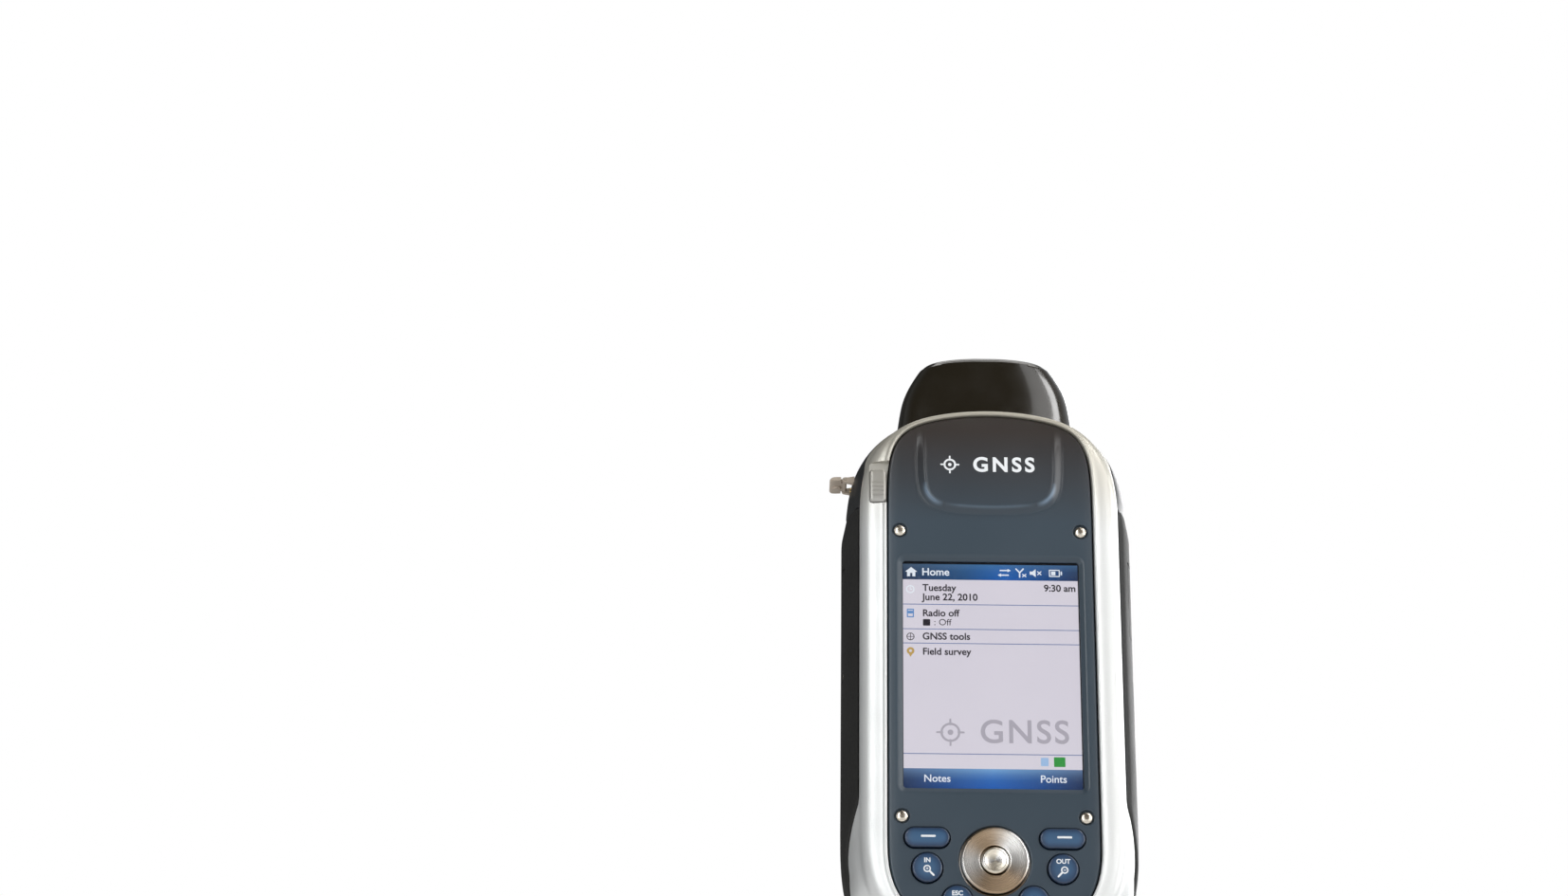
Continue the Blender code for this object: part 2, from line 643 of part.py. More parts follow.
hood_rows = [hood_cap(0.5, -0.9, 2.0), hood_cap(0.92, -1.2, 2.0)]
hood_rows += [hood_ring(l, 2.0) for l in (0.8, 0.45, 0.0)]
hood_rows += [hood_ring(l, 0.0) for l in (0.0, 0.25, 0.5, 0.75, 0.95)]
hood_rows += [hood_cap(0.965, 0.55, 0.0), hood_cap(0.9, 1.2, 0.0), hood_cap(0.5, 1.4, 0.0)]
finish_mesh("antenna_hood", loft(hood_rows), "hood")

antenna_board = finish_mesh("antenna_board", soft_block(-17.5, 17.5, 13.5, 31.0, 126.4, 127.6, 0.5, 1), "board")
finish_mesh("patch_antenna", soft_block(-8.5, 8.5, 13.8, 30.7, 127.9, 132.0, 0.8, 1), "ceramic")

# ------------------------------------------------------------------ display stack and carrier
finish_mesh("touch_glass", loft([[(x, y, z) for x, z in rounded(-28.3, 28.3, -1.6, 72.7, 1.0, 2)] for y in (SCREEN_Y, 2.9)]), "glass")
finish_mesh("touch_gasket", plate(rounded(-29.9, 29.9, -3.2, 74.3, 1.6, 2), [rounded(-28.6, 28.6, -1.9, 73.0, 1.0, 2)], [(0, 1.8), (0, 2.9)]), "seal")
finish_mesh("display_panel", loft([[(x, y, z) for x, z in rounded(-29.6, 29.6, -4.2, 76.0, 0.8, 1)] for y in (3.2, 5.7)]), "panel")

carrier_loop = around(lambda r: r.off_frame(-4.9) if r.width > 5 else r.off_bezel(-1.0))[::-1]
carrier_holes = [rounded(-20, 20, 10, 62, 3, 2), rounded(-14, 14, -36, -12, 3, 2), rounded(-12, 12, 84, 104, 3, 2)]
carrier = finish_mesh("mid_frame", plate(carrier_loop, carrier_holes, [(0, 6.4), (0, 8.0)]), "carrier")
cut(carrier, merged(*[lathe(x, z, [(2.7, 1.8), (2.7, 7.2)], 12) for x, z in BEZEL_SCREWS],
                    *[lathe(x, z, [(2.8, 7.2), (2.8, 36.6)], 12) for x, z in REAR_SCREWS]), "UNION")
cut(carrier, merged(*[lathe(x, z, [(1.25, 1.0), (1.25, 9.0)], 10) for x, z in BEZEL_SCREWS],
                    *[lathe(x, z, [(1.25, 26.0), (1.25, 38.0)], 10) for x, z in REAR_SCREWS]))
seal_rows = [around3(lambda r: (r.off_frame(-2.9), 5.0)), around3(lambda r: (r.off_frame(-2.9), 6.4)),
             around3(lambda r: (r.off_frame(-4.2), 6.4)), around3(lambda r: (r.off_frame(-4.2), 5.0))]
finish_mesh("main_seal", loft(seal_rows, closed=True), "seal")

for i, (x, z) in enumerate(BEZEL_SCREWS, 1):
    finish_mesh("bezel_screw_%d" % i, lathe(x, z, [(0.6, -0.15), (1.3, -0.1), (1.85, 0.2), (1.85, 0.8), (0.95, 0.8), (0.95, 5.6)], 12), "steel", (x, 0, z))
for i, (x, z) in enumerate(REAR_SCREWS, 1):
    finish_mesh("rear_screw_%d" % i, lathe(x, z, [(0.95, 29.5), (0.95, 41.2), (2.4, 41.2), (2.4, 41.8), (1.9, Y_BACK)], 12), "steel", (x, Y_BACK, z))

# ------------------------------------------------------------------ keys
def cap_key(cx, cz, loop_at, flange, y_top=-0.9, crown=0.18):
    """Key cap with a retaining flange under the bezel; loop_at(inset) gives its outline."""
    rows = [(1.6, y_top - crown), (0.4, y_top + 0.05), (0.0, y_top + 0.5), (0.0, 1.85), (-flange, 1.85), (-flange, 2.4), (0.2, 2.4), (0.2, 3.0)]
    rings = []
    for inset, y in rows:
        rings.append([(x, y, z) for x, z in loop_at(inset)])
    return loft(rings)


def round_key(name, cx, cz, r, n=16):
    piv = pivot(name + "_axis", cx, 0, cz)
    finish_mesh(name, cap_key(cx, cz, lambda i: circle(cx, cz, r - i, n), 0.5), "key", (cx, 0, cz), piv)


def bar_key(name, cx, cz, w, h):
    piv = pivot(name + "_axis", cx, 0, cz)
    finish_mesh(name, cap_key(cx, cz, lambda i: stadium(cx, cz, w - 2 * i, h - 2 * i, 5), 0.5), "key", (cx, 0, cz), piv)


bar_key("softkey_left", -SOFTKEY[0], *SOFTKEY[1:])
bar_key("softkey_right", SOFTKEY[0], *SOFTKEY[1:])
round_key("zoom_in_key", -ZOOM_KEY[0], *ZOOM_KEY[1:])
round_key("zoom_out_key", ZOOM_KEY[0], *ZOOM_KEY[1:])
round_key("esc_key", -LOW_KEY[0], *LOW_KEY[1:])
round_key("menu_key", LOW_KEY[0], *LOW_KEY[1:])
round_key("power_key", POWER_KEY[0], POWER_KEY[1], POWER_KEY[2], 16)

nav_axis = pivot("nav_axis", NAV[0], 3.4, NAV[1])
finish_mesh("nav_ring", lathe(NAV[0], NAV[1], [(4.5, -0.75), (6.5, -1.05), (9.2, -1.25), (9.85, -0.95), (10.1, -0.4), (10.1, 2.2), (10.6, 2.2), (10.6, 2.7), (4.5, 2.7)], 32, bore=True),
            "spun", (NAV[0], 3.4, NAV[1]), nav_axis)
finish_mesh("nav_gimbal", lathe(NAV[0], NAV[1], [(5.5, 3.2), (7.6, 3.2), (7.6, 4.3), (5.5, 4.3)], 20, bore=True), "carrier", (NAV[0], 3.4, NAV[1]), nav_axis)
enter_axis = pivot("enter_axis", NAV[0], 0, NAV[1])
finish_mesh("enter_button", lathe(NAV[0], NAV[1], [(1.2, -1.2), (3.2, -1.3), (3.8, -1.05), (ENTER_R, -0.6), (ENTER_R, 3.15), (4.9, 3.15), (4.9, 3.6), (3.0, 3.6), (3.0, 4.0)], 20),
            "spun", (NAV[0], 0, NAV[1]), enter_axis)

half_low = [r.at(r.off_bezel(-2.6), False) for r in RAYS if r.d[1] < 0]
half_low = [(23.4, -9.6), (23.4, -12.6), (27.0, -12.6)] + [(min(27.0, x), z) for x, z in half_low]
pad = half_low + [(-x, z) for x, z in half_low[:-1]][::-1]
pad = pad[::-1]
finish_mesh("keypad_mat", plate(pad, [circle(NAV[0], NAV[1], 11.3, 24)], [(0, 3.7), (0, 4.6)]), "seal")
finish_mesh("keypad_board", loft([[(x, y, z) for x, z in pad] for y in (4.9, 5.9)]), "board")

# ------------------------------------------------------------------ lock slider on the frame
slider_axis = pivot("lock_slider_axis", -34.4, 0, 96)
slider_loop = rounded(-36.9, -31.8, 90.1, 100.8, 1.2, 3)
slider_rows = [(0.5, -1.05), (0.0, -0.6), (0.0, 1.4)]
slider = finish_mesh("lock_slider", loft([[(x, y, z) for x, z in shrink(slider_loop, i)] for i, y in slider_rows]), "silver", (-34.4, 0, 96), slider_axis)

# ------------------------------------------------------------------ boards and modules
finish_mesh("main_board", loft([[(x, y, z) for x, z in rounded(-28, 28, -23, 92, 2, 1)] for y in (9.2, 10.6)]), "board")
finish_mesh("cpu_shield", soft_block(-24, 4, 10.9, 13.3, 28, 58, 0.6, 1), "can")
finish_mesh("gnss_module", soft_block(-14, 14, 10.9, 14.2, 62, 88, 0.6, 1), "can")
finish_mesh("modem_module", soft_block(-24, 10, 10.9, 15.0, -16, 24, 0.6, 1), "can")
finish_mesh("speaker", lathe(-15.5, 86.0, [(7.5, 33.5), (8.0, 34.0), (8.0, 39.0), (7.5, 39.4)], 20), "battery")
finish_mesh("camera_module", soft_block(-5.0, 5.0, 33.0, 39.3, 92.0, 102.0, 0.6, 1), "lens")
finish_mesh("camera_window", lathe(0.0, 97.0, [(4.9, 40.2), (4.9, 41.4), (4.4, 41.8)], 20), "lens", (0, Y_BACK, 97))
finish_mesh("card_socket", soft_block(16.0, 34.0, 19.8, 21.6, 51.0, 77.0, 0.5, 1), "can")
finish_mesh("memory_card", loft([[(x, y, z) for x, z in ((18.0, 53.3), (38.5, 53.3), (40.0, 54.8), (40.0, 74.7), (18.0, 74.7))] for y in (17.4, 19.5)]), "battery")

# ------------------------------------------------------------------ battery bay

def well():
    inner = rounded(-26.6, 26.6, -30.2, 35.6, 1.2, 2)
    outer = rounded(-27.8, 27.8, -31.4, 36.8, 1.6, 2)
    flange = rounded(-28.9, 28.9, -35.4, 47.6, 2.4, 2)
    rows = [(inner, 26.2), (inner, 38.9), (flange, 38.9), (flange, 37.7), (outer, 37.7), (outer, 25.0)]
    return loft([[(x, y, z) for x, z in loop] for loop, y in rows])


well_ob = finish_mesh("battery_well", well(), "housing")
cut(well_ob, merged(*[lathe(x, z, [(1.9, 36.0), (1.9, 40.0)], 12) for x, z in DOOR_SCREWS], soft_block(-8.2, 8.2, 27.2, 33.8, 34.5, 38.0, 0.6, 1)))
finish_mesh("battery_pack", soft_block(-25.6, 25.6, 26.8, 38.4, -29.2, 31.4, 2.0, 2), "battery")
finish_mesh("battery_contacts", soft_block(-7.8, 7.8, 27.6, 33.4, 31.9, 37.6, 0.5, 1), "brass")
finish_mesh("door_seal", plate(rounded(-24.3, 24.3, -31.8, 38.0, 3.6, 3), [rounded(-23.0, 23.0, -30.5, 36.7, 3.0, 3)], [(0, 39.2), (0, 39.9)]), "seal")

door_axis = pivot("battery_door_axis", 0, Y_BACK, zl)
door_loop = rounded(-hw, hw, zl, zh, cr - 0.3, 3)
door_rim = [(0.0, 40.2), (0.0, 41.6), (0.4, Y_BACK)]
finish_mesh("battery_door", plate(door_loop, [circle(x, z, 3.9, 18) for x, z in DOOR_SCREWS], door_rim, [[(-1.9, 40.2), (-1.9, 41.0), (0.0, 41.0), (0.0, Y_BACK)]] * 2),
            "housing", (0, Y_BACK, zl), door_axis)
for side, (x, z) in zip(("left", "right"), DOOR_SCREWS):
    piv = pivot("door_screw_axis_" + side, x, Y_BACK, z)
    ob = finish_mesh("door_screw_" + side, lathe(x, z, [(1.5, 35.6), (1.5, 41.25), (3.6, 41.25), (3.6, 41.8), (3.3, Y_BACK)], 16), "steel", (x, Y_BACK, z), piv)
    cut(ob, block(x - 4.2, x + 4.2, 41.6, 43.5, z - 0.55, z + 0.55))

# ------------------------------------------------------------------ ports and the rest
jack = [[(c, 20.0 + r * math.cos(2 * math.pi * i / 16), JACK_Z + r * math.sin(2 * math.pi * i / 16)) for i in range(16)] for r, c in
        [(0.9, -39.5), (0.9, -42.2), (1.2, -42.5), (1.85, -42.5), (1.85, -36.8)]]
finish_mesh("antenna_jack", loft(jack), "brass")

hx, hz = COVER_HINGE
cover_axis = pivot("antenna_cover_axis", hx, 20.0, hz)
# side outline (x, z) of the flap, standing open: barrel at the hinge, tongue outwards
cover_side = [(hx + 0.65, hz - 0.1), (hx + 0.45, hz + 0.6), (hx - 0.2, hz + 0.85), (hx - 3.7, hz + 0.85), (hx - 4.4, hz + 0.5), (hx - 4.7, hz - 0.05),
              (hx - 4.3, hz - 0.5), (hx - 0.4, hz - 0.5), (hx + 0.2, hz - 0.6)]
finish_mesh("antenna_cover", loft([[(x, y, z) for x, z in (cover_side if k in (1, 2) else [(hx - 2.3 + (x - hx + 2.3) * 0.9, hz + 0.1 + (z - hz - 0.1) * 0.8) for x, z in cover_side])]
                                  for k, y in enumerate((14.3, 15.2, 24.8, 25.7))]), "cover", (hx, 20.0, hz), cover_axis)

finish_mesh("dock_connector", soft_block(-8.9, 8.9, 19.4, 26.6, -46.3, -38.0, 0.8, 1), "battery")

stylus_axis = pivot("stylus_axis", STYLUS[0], STYLUS[1], 110)
stylus_rows = [(0.5, 19.0), (1.2, 22.0), (2.0, 26.0), (2.0, 104.0), (2.9, 108.0), (2.9, 115.0), (2.3, 116.0)]
finish_mesh("stylus", loft([[(STYLUS[0] + r * math.cos(2 * math.pi * i / 14), STYLUS[1] + r * math.sin(2 * math.pi * i / 14), z) for i in range(14)] for r, z in stylus_rows]),
            "battery", (STYLUS[0], STYLUS[1], 110), stylus_axis)
tube = [[(STYLUS[0] + r * math.cos(2 * math.pi * i / 14), STYLUS[1] + r * math.sin(2 * math.pi * i / 14), z) for i in range(14)] for r, z in
        [(2.4, 17.0), (2.4, 104.0), (3.1, 104.0), (3.1, 15.5)]]
finish_mesh("stylus_tube", loft(tube), "housing")
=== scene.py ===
"""Looks of the hand-held data collector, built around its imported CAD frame.

Design frame, in millimetres: x across, y from the front face (0) to the back, z along the length with 0 at the lower
edge of the display. W() turns it into the frame's metres.
"""
import json
import math

import bmesh
import bpy
import numpy as np
from mathutils import Matrix, Vector
from mathutils.geometry import delaunay_2d_cdt


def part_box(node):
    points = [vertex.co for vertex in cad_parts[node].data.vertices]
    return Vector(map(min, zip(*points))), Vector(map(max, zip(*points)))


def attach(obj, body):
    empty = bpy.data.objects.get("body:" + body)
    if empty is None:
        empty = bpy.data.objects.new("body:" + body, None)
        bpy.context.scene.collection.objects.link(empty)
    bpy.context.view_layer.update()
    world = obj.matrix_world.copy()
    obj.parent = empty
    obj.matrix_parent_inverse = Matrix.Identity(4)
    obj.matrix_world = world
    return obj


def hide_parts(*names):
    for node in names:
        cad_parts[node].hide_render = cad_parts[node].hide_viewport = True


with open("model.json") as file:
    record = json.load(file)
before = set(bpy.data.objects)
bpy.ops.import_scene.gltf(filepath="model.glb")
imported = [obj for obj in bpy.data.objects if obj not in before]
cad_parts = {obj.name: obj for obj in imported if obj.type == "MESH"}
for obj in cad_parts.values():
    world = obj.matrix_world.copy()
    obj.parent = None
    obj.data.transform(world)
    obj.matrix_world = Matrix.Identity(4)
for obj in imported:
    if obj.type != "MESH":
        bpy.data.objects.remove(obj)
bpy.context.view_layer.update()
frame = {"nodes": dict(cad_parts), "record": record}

Y_BACK, Z_MOUNT = 42.0, 62.0
TAU = 2 * math.pi


def W(p):
    p = np.asarray(p, float)
    return (p - np.array([0.0, Y_BACK, Z_MOUNT])) * 0.001


# ---------------------------------------------------------------- curves and tables
BEZEL_HALF = [
    (0, 118.9), (10, 118.3), (19.5, 116.4), (25.4, 113.6), (28.6, 109.6), (30.3, 104.6), (31.0, 98.0), (31.2, 88.0),
    (31.2, 60.0), (31.2, 30.0), (31.2, 0.0), (31.2, -16.0), (30.9, -23.5), (29.2, -30.2), (25.6, -36.0),
    (19.6, -40.4), (11.0, -42.4), (0, -42.8),
]
FRAME_HALF = [
    (0, 121.2), (10, 120.7), (20, 119.1), (27.6, 116.2), (33.0, 111.8), (36.5, 106.8), (38.6, 101.2), (39.5, 95.0),
    (39.8, 88.0), (39.8, 60.0), (39.8, 30.0), (39.8, 0.0), (39.8, -12.0), (39.4, -21.0), (37.9, -29.0),
    (34.4, -36.2), (28.0, -41.4), (19.0, -44.1), (10.0, -44.9), (0, -45.0),
]
FAN_TOP, FAN_BOTTOM = 95.0, -20.0
SOFTKEY = (19.95, -15.66, 13.3, 6.0)
ZOOM_KEY = (19.94, -24.78, 4.45)
LOW_KEY = (11.2, -34.5, 4.45)
POWER_KEY = (0.0, -38.2, 2.5)
NAV = (0.0, -22.47, 10.1)
ENTER_R = 4.05
BEZEL_SCREWS = [(-27.64, 81.07), (27.64, 81.07), (-27.26, -9.05), (27.26, -9.05)]
REAR_SCREWS = [(-26.0, 101.0), (26.0, 101.0), (-31.0, -28.0), (31.0, -28.0)]
DOOR = (-33.0, 46.0, 25.5, 5.0)
DOOR_SCREWS = [(-19.5, 41.3), (19.5, 41.3)]
STYLUS = (36.0, 33.0)
HOOD_Y = (7.4, 36.2)
COVER_HINGE = (-44.2, 103.2)
GRIP_Z = (-33.0, 90.5)
CARD_DOOR = (52.0, 76.0, 13.0, 25.0)
GAP, WALL = 0.3, 2.0


def catmull(points, steps):
    first = (-points[1][0], points[1][1])
    last = (-points[-2][0], points[-2][1])
    run = np.array([first] + list(points) + [last], float)
    out = []
    for i in range(1, len(run) - 2):
        p0, p1, p2, p3 = run[i - 1], run[i], run[i + 1], run[i + 2]
        for k in range(steps):
            t = k / steps
            out.append(0.5 * (2 * p1 + (p2 - p0) * t + (2 * p0 - 5 * p1 + 4 * p2 - p3) * t * t + (3 * p1 - p0 - 3 * p2 + p3) * t ** 3))
    out.append(run[-2])
    return np.array(out)


def fair(line, passes=60):
    """Evens out the little changes of curvature that a spline through points has, keeping its ends on the axis."""
    seg = np.r_[0, np.cumsum(np.linalg.norm(np.diff(line, axis=0), axis=1))]
    n = int(seg[-1] / 0.35)
    s = np.linspace(0, seg[-1], n)
    p = np.stack([np.interp(s, seg, line[:, 0]), np.interp(s, seg, line[:, 1])], 1)
    for _ in range(passes):
        q = np.vstack([[-p[1, 0], p[1, 1]], p, [-p[-2, 0], p[-2, 1]]])
        p = 0.5 * p + 0.25 * (q[:-2] + q[2:])
        p[0, 0] = p[-1, 0] = 0.0
    return p


BEZEL_LINE = fair(catmull(BEZEL_HALF, 24))
FRAME_LINE = fair(catmull(FRAME_HALF, 24))


def normals_of(line):
    q = np.vstack([[-line[1, 0], line[1, 1]], line, [-line[-2, 0], line[-2, 1]]])
    t = q[2:] - q[:-2]
    n = np.stack([-t[:, 1], t[:, 0]], 1)
    return n / np.linalg.norm(n, axis=1)[:, None]


BEZEL_N, FRAME_N = normals_of(BEZEL_LINE), normals_of(FRAME_LINE)


def hit(line, norms, z0, d):
    a, b = line[:-1], line[1:]
    e = b - a
    den = d[0] * e[:, 1] - d[1] * e[:, 0]
    den = np.where(np.abs(den) < 1e-12, 1e-12, den)
    r = (a[:, 0] * e[:, 1] - (a[:, 1] - z0) * e[:, 0]) / den
    s = (a[:, 0] * d[1] - (a[:, 1] - z0) * d[0]) / den
    ok = np.where((r > 0) & (s >= -1e-7) & (s <= 1 + 1e-7))[0]
    i = ok[0]
    n = norms[i] * (1 - s[i]) + norms[i + 1] * s[i]
    if n @ np.array(d) < 0:
        n = -n
    return float(r[i]), n


def pchip(table):
    """Smooth monotone interpolation through (t, value) pairs."""
    t = np.array([p[0] for p in table], float)
    v = np.array([p[1] for p in table], float)
    h, dlt = np.diff(t), np.diff(v) / np.diff(t)
    m = np.zeros(len(t))
    for i in range(1, len(t) - 1):
        if dlt[i - 1] * dlt[i] > 0:
            w1, w2 = 2 * h[i] + h[i - 1], h[i] + 2 * h[i - 1]
            m[i] = (w1 + w2) / (w1 / dlt[i - 1] + w2 / dlt[i])
    m[0], m[-1] = dlt[0], dlt[-1]

    def at(x):
        x = min(max(x, t[0]), t[-1])
        i = min(len(h) - 1, max(0, int(np.searchsorted(t, x) - 1)))
        u = (x - t[i]) / h[i]
        return float(v[i] * (1 + 2 * u) * (1 - u) ** 2 + m[i] * h[i] * u * (1 - u) ** 2 + v[i + 1] * u * u * (3 - 2 * u) + m[i + 1] * h[i] * u * u * (u - 1))
    return at


def smooth(a, b, t):
    u = min(1.0, max(0.0, (t - a) / (b - a)))
    return u * u * (3 - 2 * u)


SKIN_T = pchip([(3.0, -0.5), (5.8, 0.0), (8.0, 1.2), (12.0, 2.5), (16.0, 3.3), (20.0, 3.8), (28.0, 4.0), (34.0, 3.2), (38.0, 1.6), (40.6, -0.6), (42.0, -3.6)])
RECESS_T = pchip([(6.0, 0.0), (7.5, 0.9), (10.0, 1.5), (16.0, 1.7), (30.0, 1.7), (34.0, 1.4), (36.6, 0.6), (38.0, 0.0)])
GRIP_T = pchip([(6.6, 0.25), (8.0, 1.5), (12.0, 3.1), (16.0, 4.15), (20.0, 4.85), (26.0, 5.2), (31.0, 4.75), (35.6, 3.1)])


class Ray:
    def __init__(self, z0, d):
        self.z0, self.d = z0, d
        self.bezel, nb = hit(BEZEL_LINE, BEZEL_N, z0, d)
        self.frame, nf = hit(FRAME_LINE, FRAME_N, z0, d)
        self.kb = 1 / max(0.55, nb[0] * d[0] + nb[1] * d[1])
        self.kf = 1 / max(0.55, nf[0] * d[0] + nf[1] * d[1])
        self.z = z0 + d[1] * self.frame
        self.end = 1 - 0.7 * d[1] ** 4 if d[1] < 0 else 1 - 0.45 * d[1] ** 4
        self.width = (self.frame - self.bezel) / max(self.kb, self.kf)
        self.part = 5.8 + 10.2 * smooth(-1.0, -21.0, self.z) if d[1] > -0.98 else 16.0
        self.part += 3.4 * smooth(0.12, 0.4, d[1]) * smooth(0.95, 0.75, d[1])
        self.low = 1.3 * smooth(-22.0, -32.0, self.z) * smooth(-0.85, -0.5, d[1])

    def at(self, r, mirror):
        x = self.d[0] * r
        return (-x if mirror else x), self.z0 + self.d[1] * r

    def off_bezel(self, o):
        return self.bezel + o * self.kb

    def off_frame(self, o):
        return self.frame + o * self.kf


def make_rays(top, sides, bottom):
    out = [(FAN_TOP, (math.cos(math.radians(a)), math.sin(math.radians(a)))) for a in top]
    out += [(z, (1.0, 0.0)) for z in sides]
    out += [(FAN_BOTTOM, (math.cos(math.radians(a)), math.sin(math.radians(a)))) for a in bottom]
    return [Ray(*r) for r in out]


side_z = sorted(set([95.0, 91.6, 91.3, 91.0, 90.8, 90.5] + list(np.round(np.linspace(90, -20, 56), 2))), reverse=True)
RAYS = make_rays(np.linspace(90, 1.5, 60), side_z, np.linspace(-1.5, -90, 60))


def skin(ray, y):
    swell = float(SKIN_T(y))
    return swell * ray.end + ray.low * smooth(5.8, 14.0, y) * smooth(28.0, 17.0, y) if y > 5.8 else swell


def grip_zone(ray):
    if ray.d[1] <= -0.9 or ray.d[1] >= 0.5:
        return 0.0
    return smooth(GRIP_Z[0] - 1.3, GRIP_Z[0] - 0.9, ray.z) * smooth(GRIP_Z[1] + 1.3, GRIP_Z[1] + 0.9, ray.z)


def housing(ray, y):
    return skin(ray, y) - grip_zone(ray) * RECESS_T(y)


def around(make):
    """Full ring of points from a function of the ray that gives (distance, y)."""
    out = []
    for r, mirror in [(r, False) for r in RAYS] + [(r, True) for r in RAYS[1:-1]][::-1]:
        d, y = make(r)
        x, z = r.at(d, mirror)
        out.append((x, y, z))
    return out


# ---------------------------------------------------------------- mesh helpers
def circle(cx, cz, r, n, phase=0.0):
    return [(cx + r * math.cos(TAU * (i + phase) / n), cz + r * math.sin(TAU * (i + phase) / n)) for i in range(n)]


def rounded(x0, x1, z0, z1, r, n=8):
    out = []
    for cx, cz, a0 in ((x1 - r, z0 + r, -90), (x1 - r, z1 - r, 0), (x0 + r, z1 - r, 90), (x0 + r, z0 + r, 180)):
        for k in range(n + 1):
            a = math.radians(a0 + 90 * k / n)
            out.append((cx + r * math.cos(a), cz + r * math.sin(a)))
    return out


def inset(x0, x1, z0, z1, r, n, i):
    """The rounded rectangle drawn in by i, with the same number of points for every i."""
    return rounded(x0 + i, x1 - i, z0 + i, z1 - i, max(r - i, 0.06), n)


def stadium(cx, cz, w, h, n=16):
    return rounded(cx - w / 2, cx + w / 2, cz - h / 2, cz + h / 2, min(w, h) / 2 - 1e-4, n)


def dense(loop, step):
    """The closed loop with points no further apart than step."""
    out = []
    for (ax, az), (bx, bz) in zip(loop, loop[1:] + loop[:1]):
        k = max(1, int(math.ceil(math.hypot(bx - ax, bz - az) / step)))
        out += [(ax + (bx - ax) * i / k, az + (bz - az) * i / k) for i in range(k)]
    return out


def shrink(loop, d):
    """Counter-clockwise loop moved inwards by d."""
    p = np.array(loop, float)
    prev, nxt = np.roll(p, 1, 0), np.roll(p, -1, 0)
    e1, e2 = p - prev, nxt - p
    n1 = np.stack([-e1[:, 1], e1[:, 0]], 1)
    n2 = np.stack([-e2[:, 1], e2[:, 0]], 1)
    n1 /= np.maximum(1e-12, np.linalg.norm(n1, axis=1))[:, None]
    n2 /= np.maximum(1e-12, np.linalg.norm(n2, axis=1))[:, None]
    m = n1 + n2
    m = m / np.maximum(0.5, (m ** 2).sum(1) / 2)[:, None]
    return [tuple(q) for q in p + m * d]


def loft(rings, cap=True, closed=False, bm=None):
    bm = bm or bmesh.new()
    rows = [[bm.verts.new(p) for p in ring] for ring in rings]
    n = len(rows[0])
    pairs = list(zip(rows, rows[1:]))
    if closed:
        pairs.append((rows[-1], rows[0]))
    for a, b in pairs:
        for i in range(n):
            j = (i + 1) % n
            bm.faces.new((a[i], a[j], b[j], b[i]))
    if cap and not closed:
        bm.faces.new(rows[0][::-1])
        bm.faces.new(rows[-1])
    return bm


def lathe(cx, cz, profile, n, bore=False, bm=None):
    rings = [[(x, y, z) for x, z in circle(cx, cz, r, n)] for r, y in profile]
    return loft(rings, cap=not bore, closed=bore, bm=bm)


def axis_rod(axis, a, b, profile, n, phase=0.0):
    """Turned piece along an axis letter; profile is [(r, position), ...]."""
    rings = []
    for r, c in profile:
        ring = []
        for i in range(n):
            t = TAU * (i + phase) / n
            u, v = a + r * math.cos(t), b + r * math.sin(t)
            ring.append({"x": (c, u, v), "y": (u, c, v), "z": (u, v, c)}[axis])
        rings.append(ring)
    return loft(rings)


def slab(loop, y0, y1, bevel=0.0, steps=3, back=True):
    """Plate of the outline between two depths, with rounded edges at the front and, with back, at the back."""
    rows = []
    if bevel:
        for k in range(steps + 1):
            a = math.pi / 2 * k / steps
            rows.append((bevel * (1 - math.sin(a)), y0 + bevel * (1 - math.cos(a))))
        if back:
            for k in range(steps + 1):
                a = math.pi / 2 * k / steps
                rows.append((bevel * (1 - math.cos(a)), y1 - bevel * (1 - math.sin(a))))
        else:
            rows.append((0, y1))
    else:
        rows = [(0, y0), (0, y1)]
    return loft([[(x, y, z) for x, z in shrink(loop, i)] for i, y in rows])


def arc(cx, cy, r, a0, a1, n):
    return [(cx + r * math.cos(math.radians(a0 + (a1 - a0) * k / n)), cy + r * math.sin(math.radians(a0 + (a1 - a0) * k / n))) for k in range(n + 1)]


def piece(name, bm, mat, body="case", stands_for=(), sharp=38, merge=True, keep_normals=False):
    """Finishes the bmesh (design millimetres) as a piece that rides on a body."""
    if merge:
        bmesh.ops.remove_doubles(bm, verts=bm.verts, dist=1e-4)
    if not keep_normals:
        bmesh.ops.recalc_face_normals(bm, faces=bm.faces)
        if bm.calc_volume(signed=True) < 0:
            bmesh.ops.reverse_faces(bm, faces=bm.faces)
    for v in bm.verts:
        v.co = Vector(W(v.co))
    mesh = bpy.data.meshes.new(name)
    bm.to_mesh(mesh)
    bm.free()
    for m in (mat if isinstance(mat, (list, tuple)) else [mat]):
        mesh.materials.append(m)
    mesh.shade_smooth()
    mesh.set_sharp_from_angle(angle=math.radians(sharp))
    ob = bpy.data.objects.new(name, mesh)
    bpy.context.scene.collection.objects.link(ob)
    if body:
        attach(ob, body)
    if stands_for:
        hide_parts(*([stands_for] if isinstance(stands_for, str) else stands_for))
    return ob


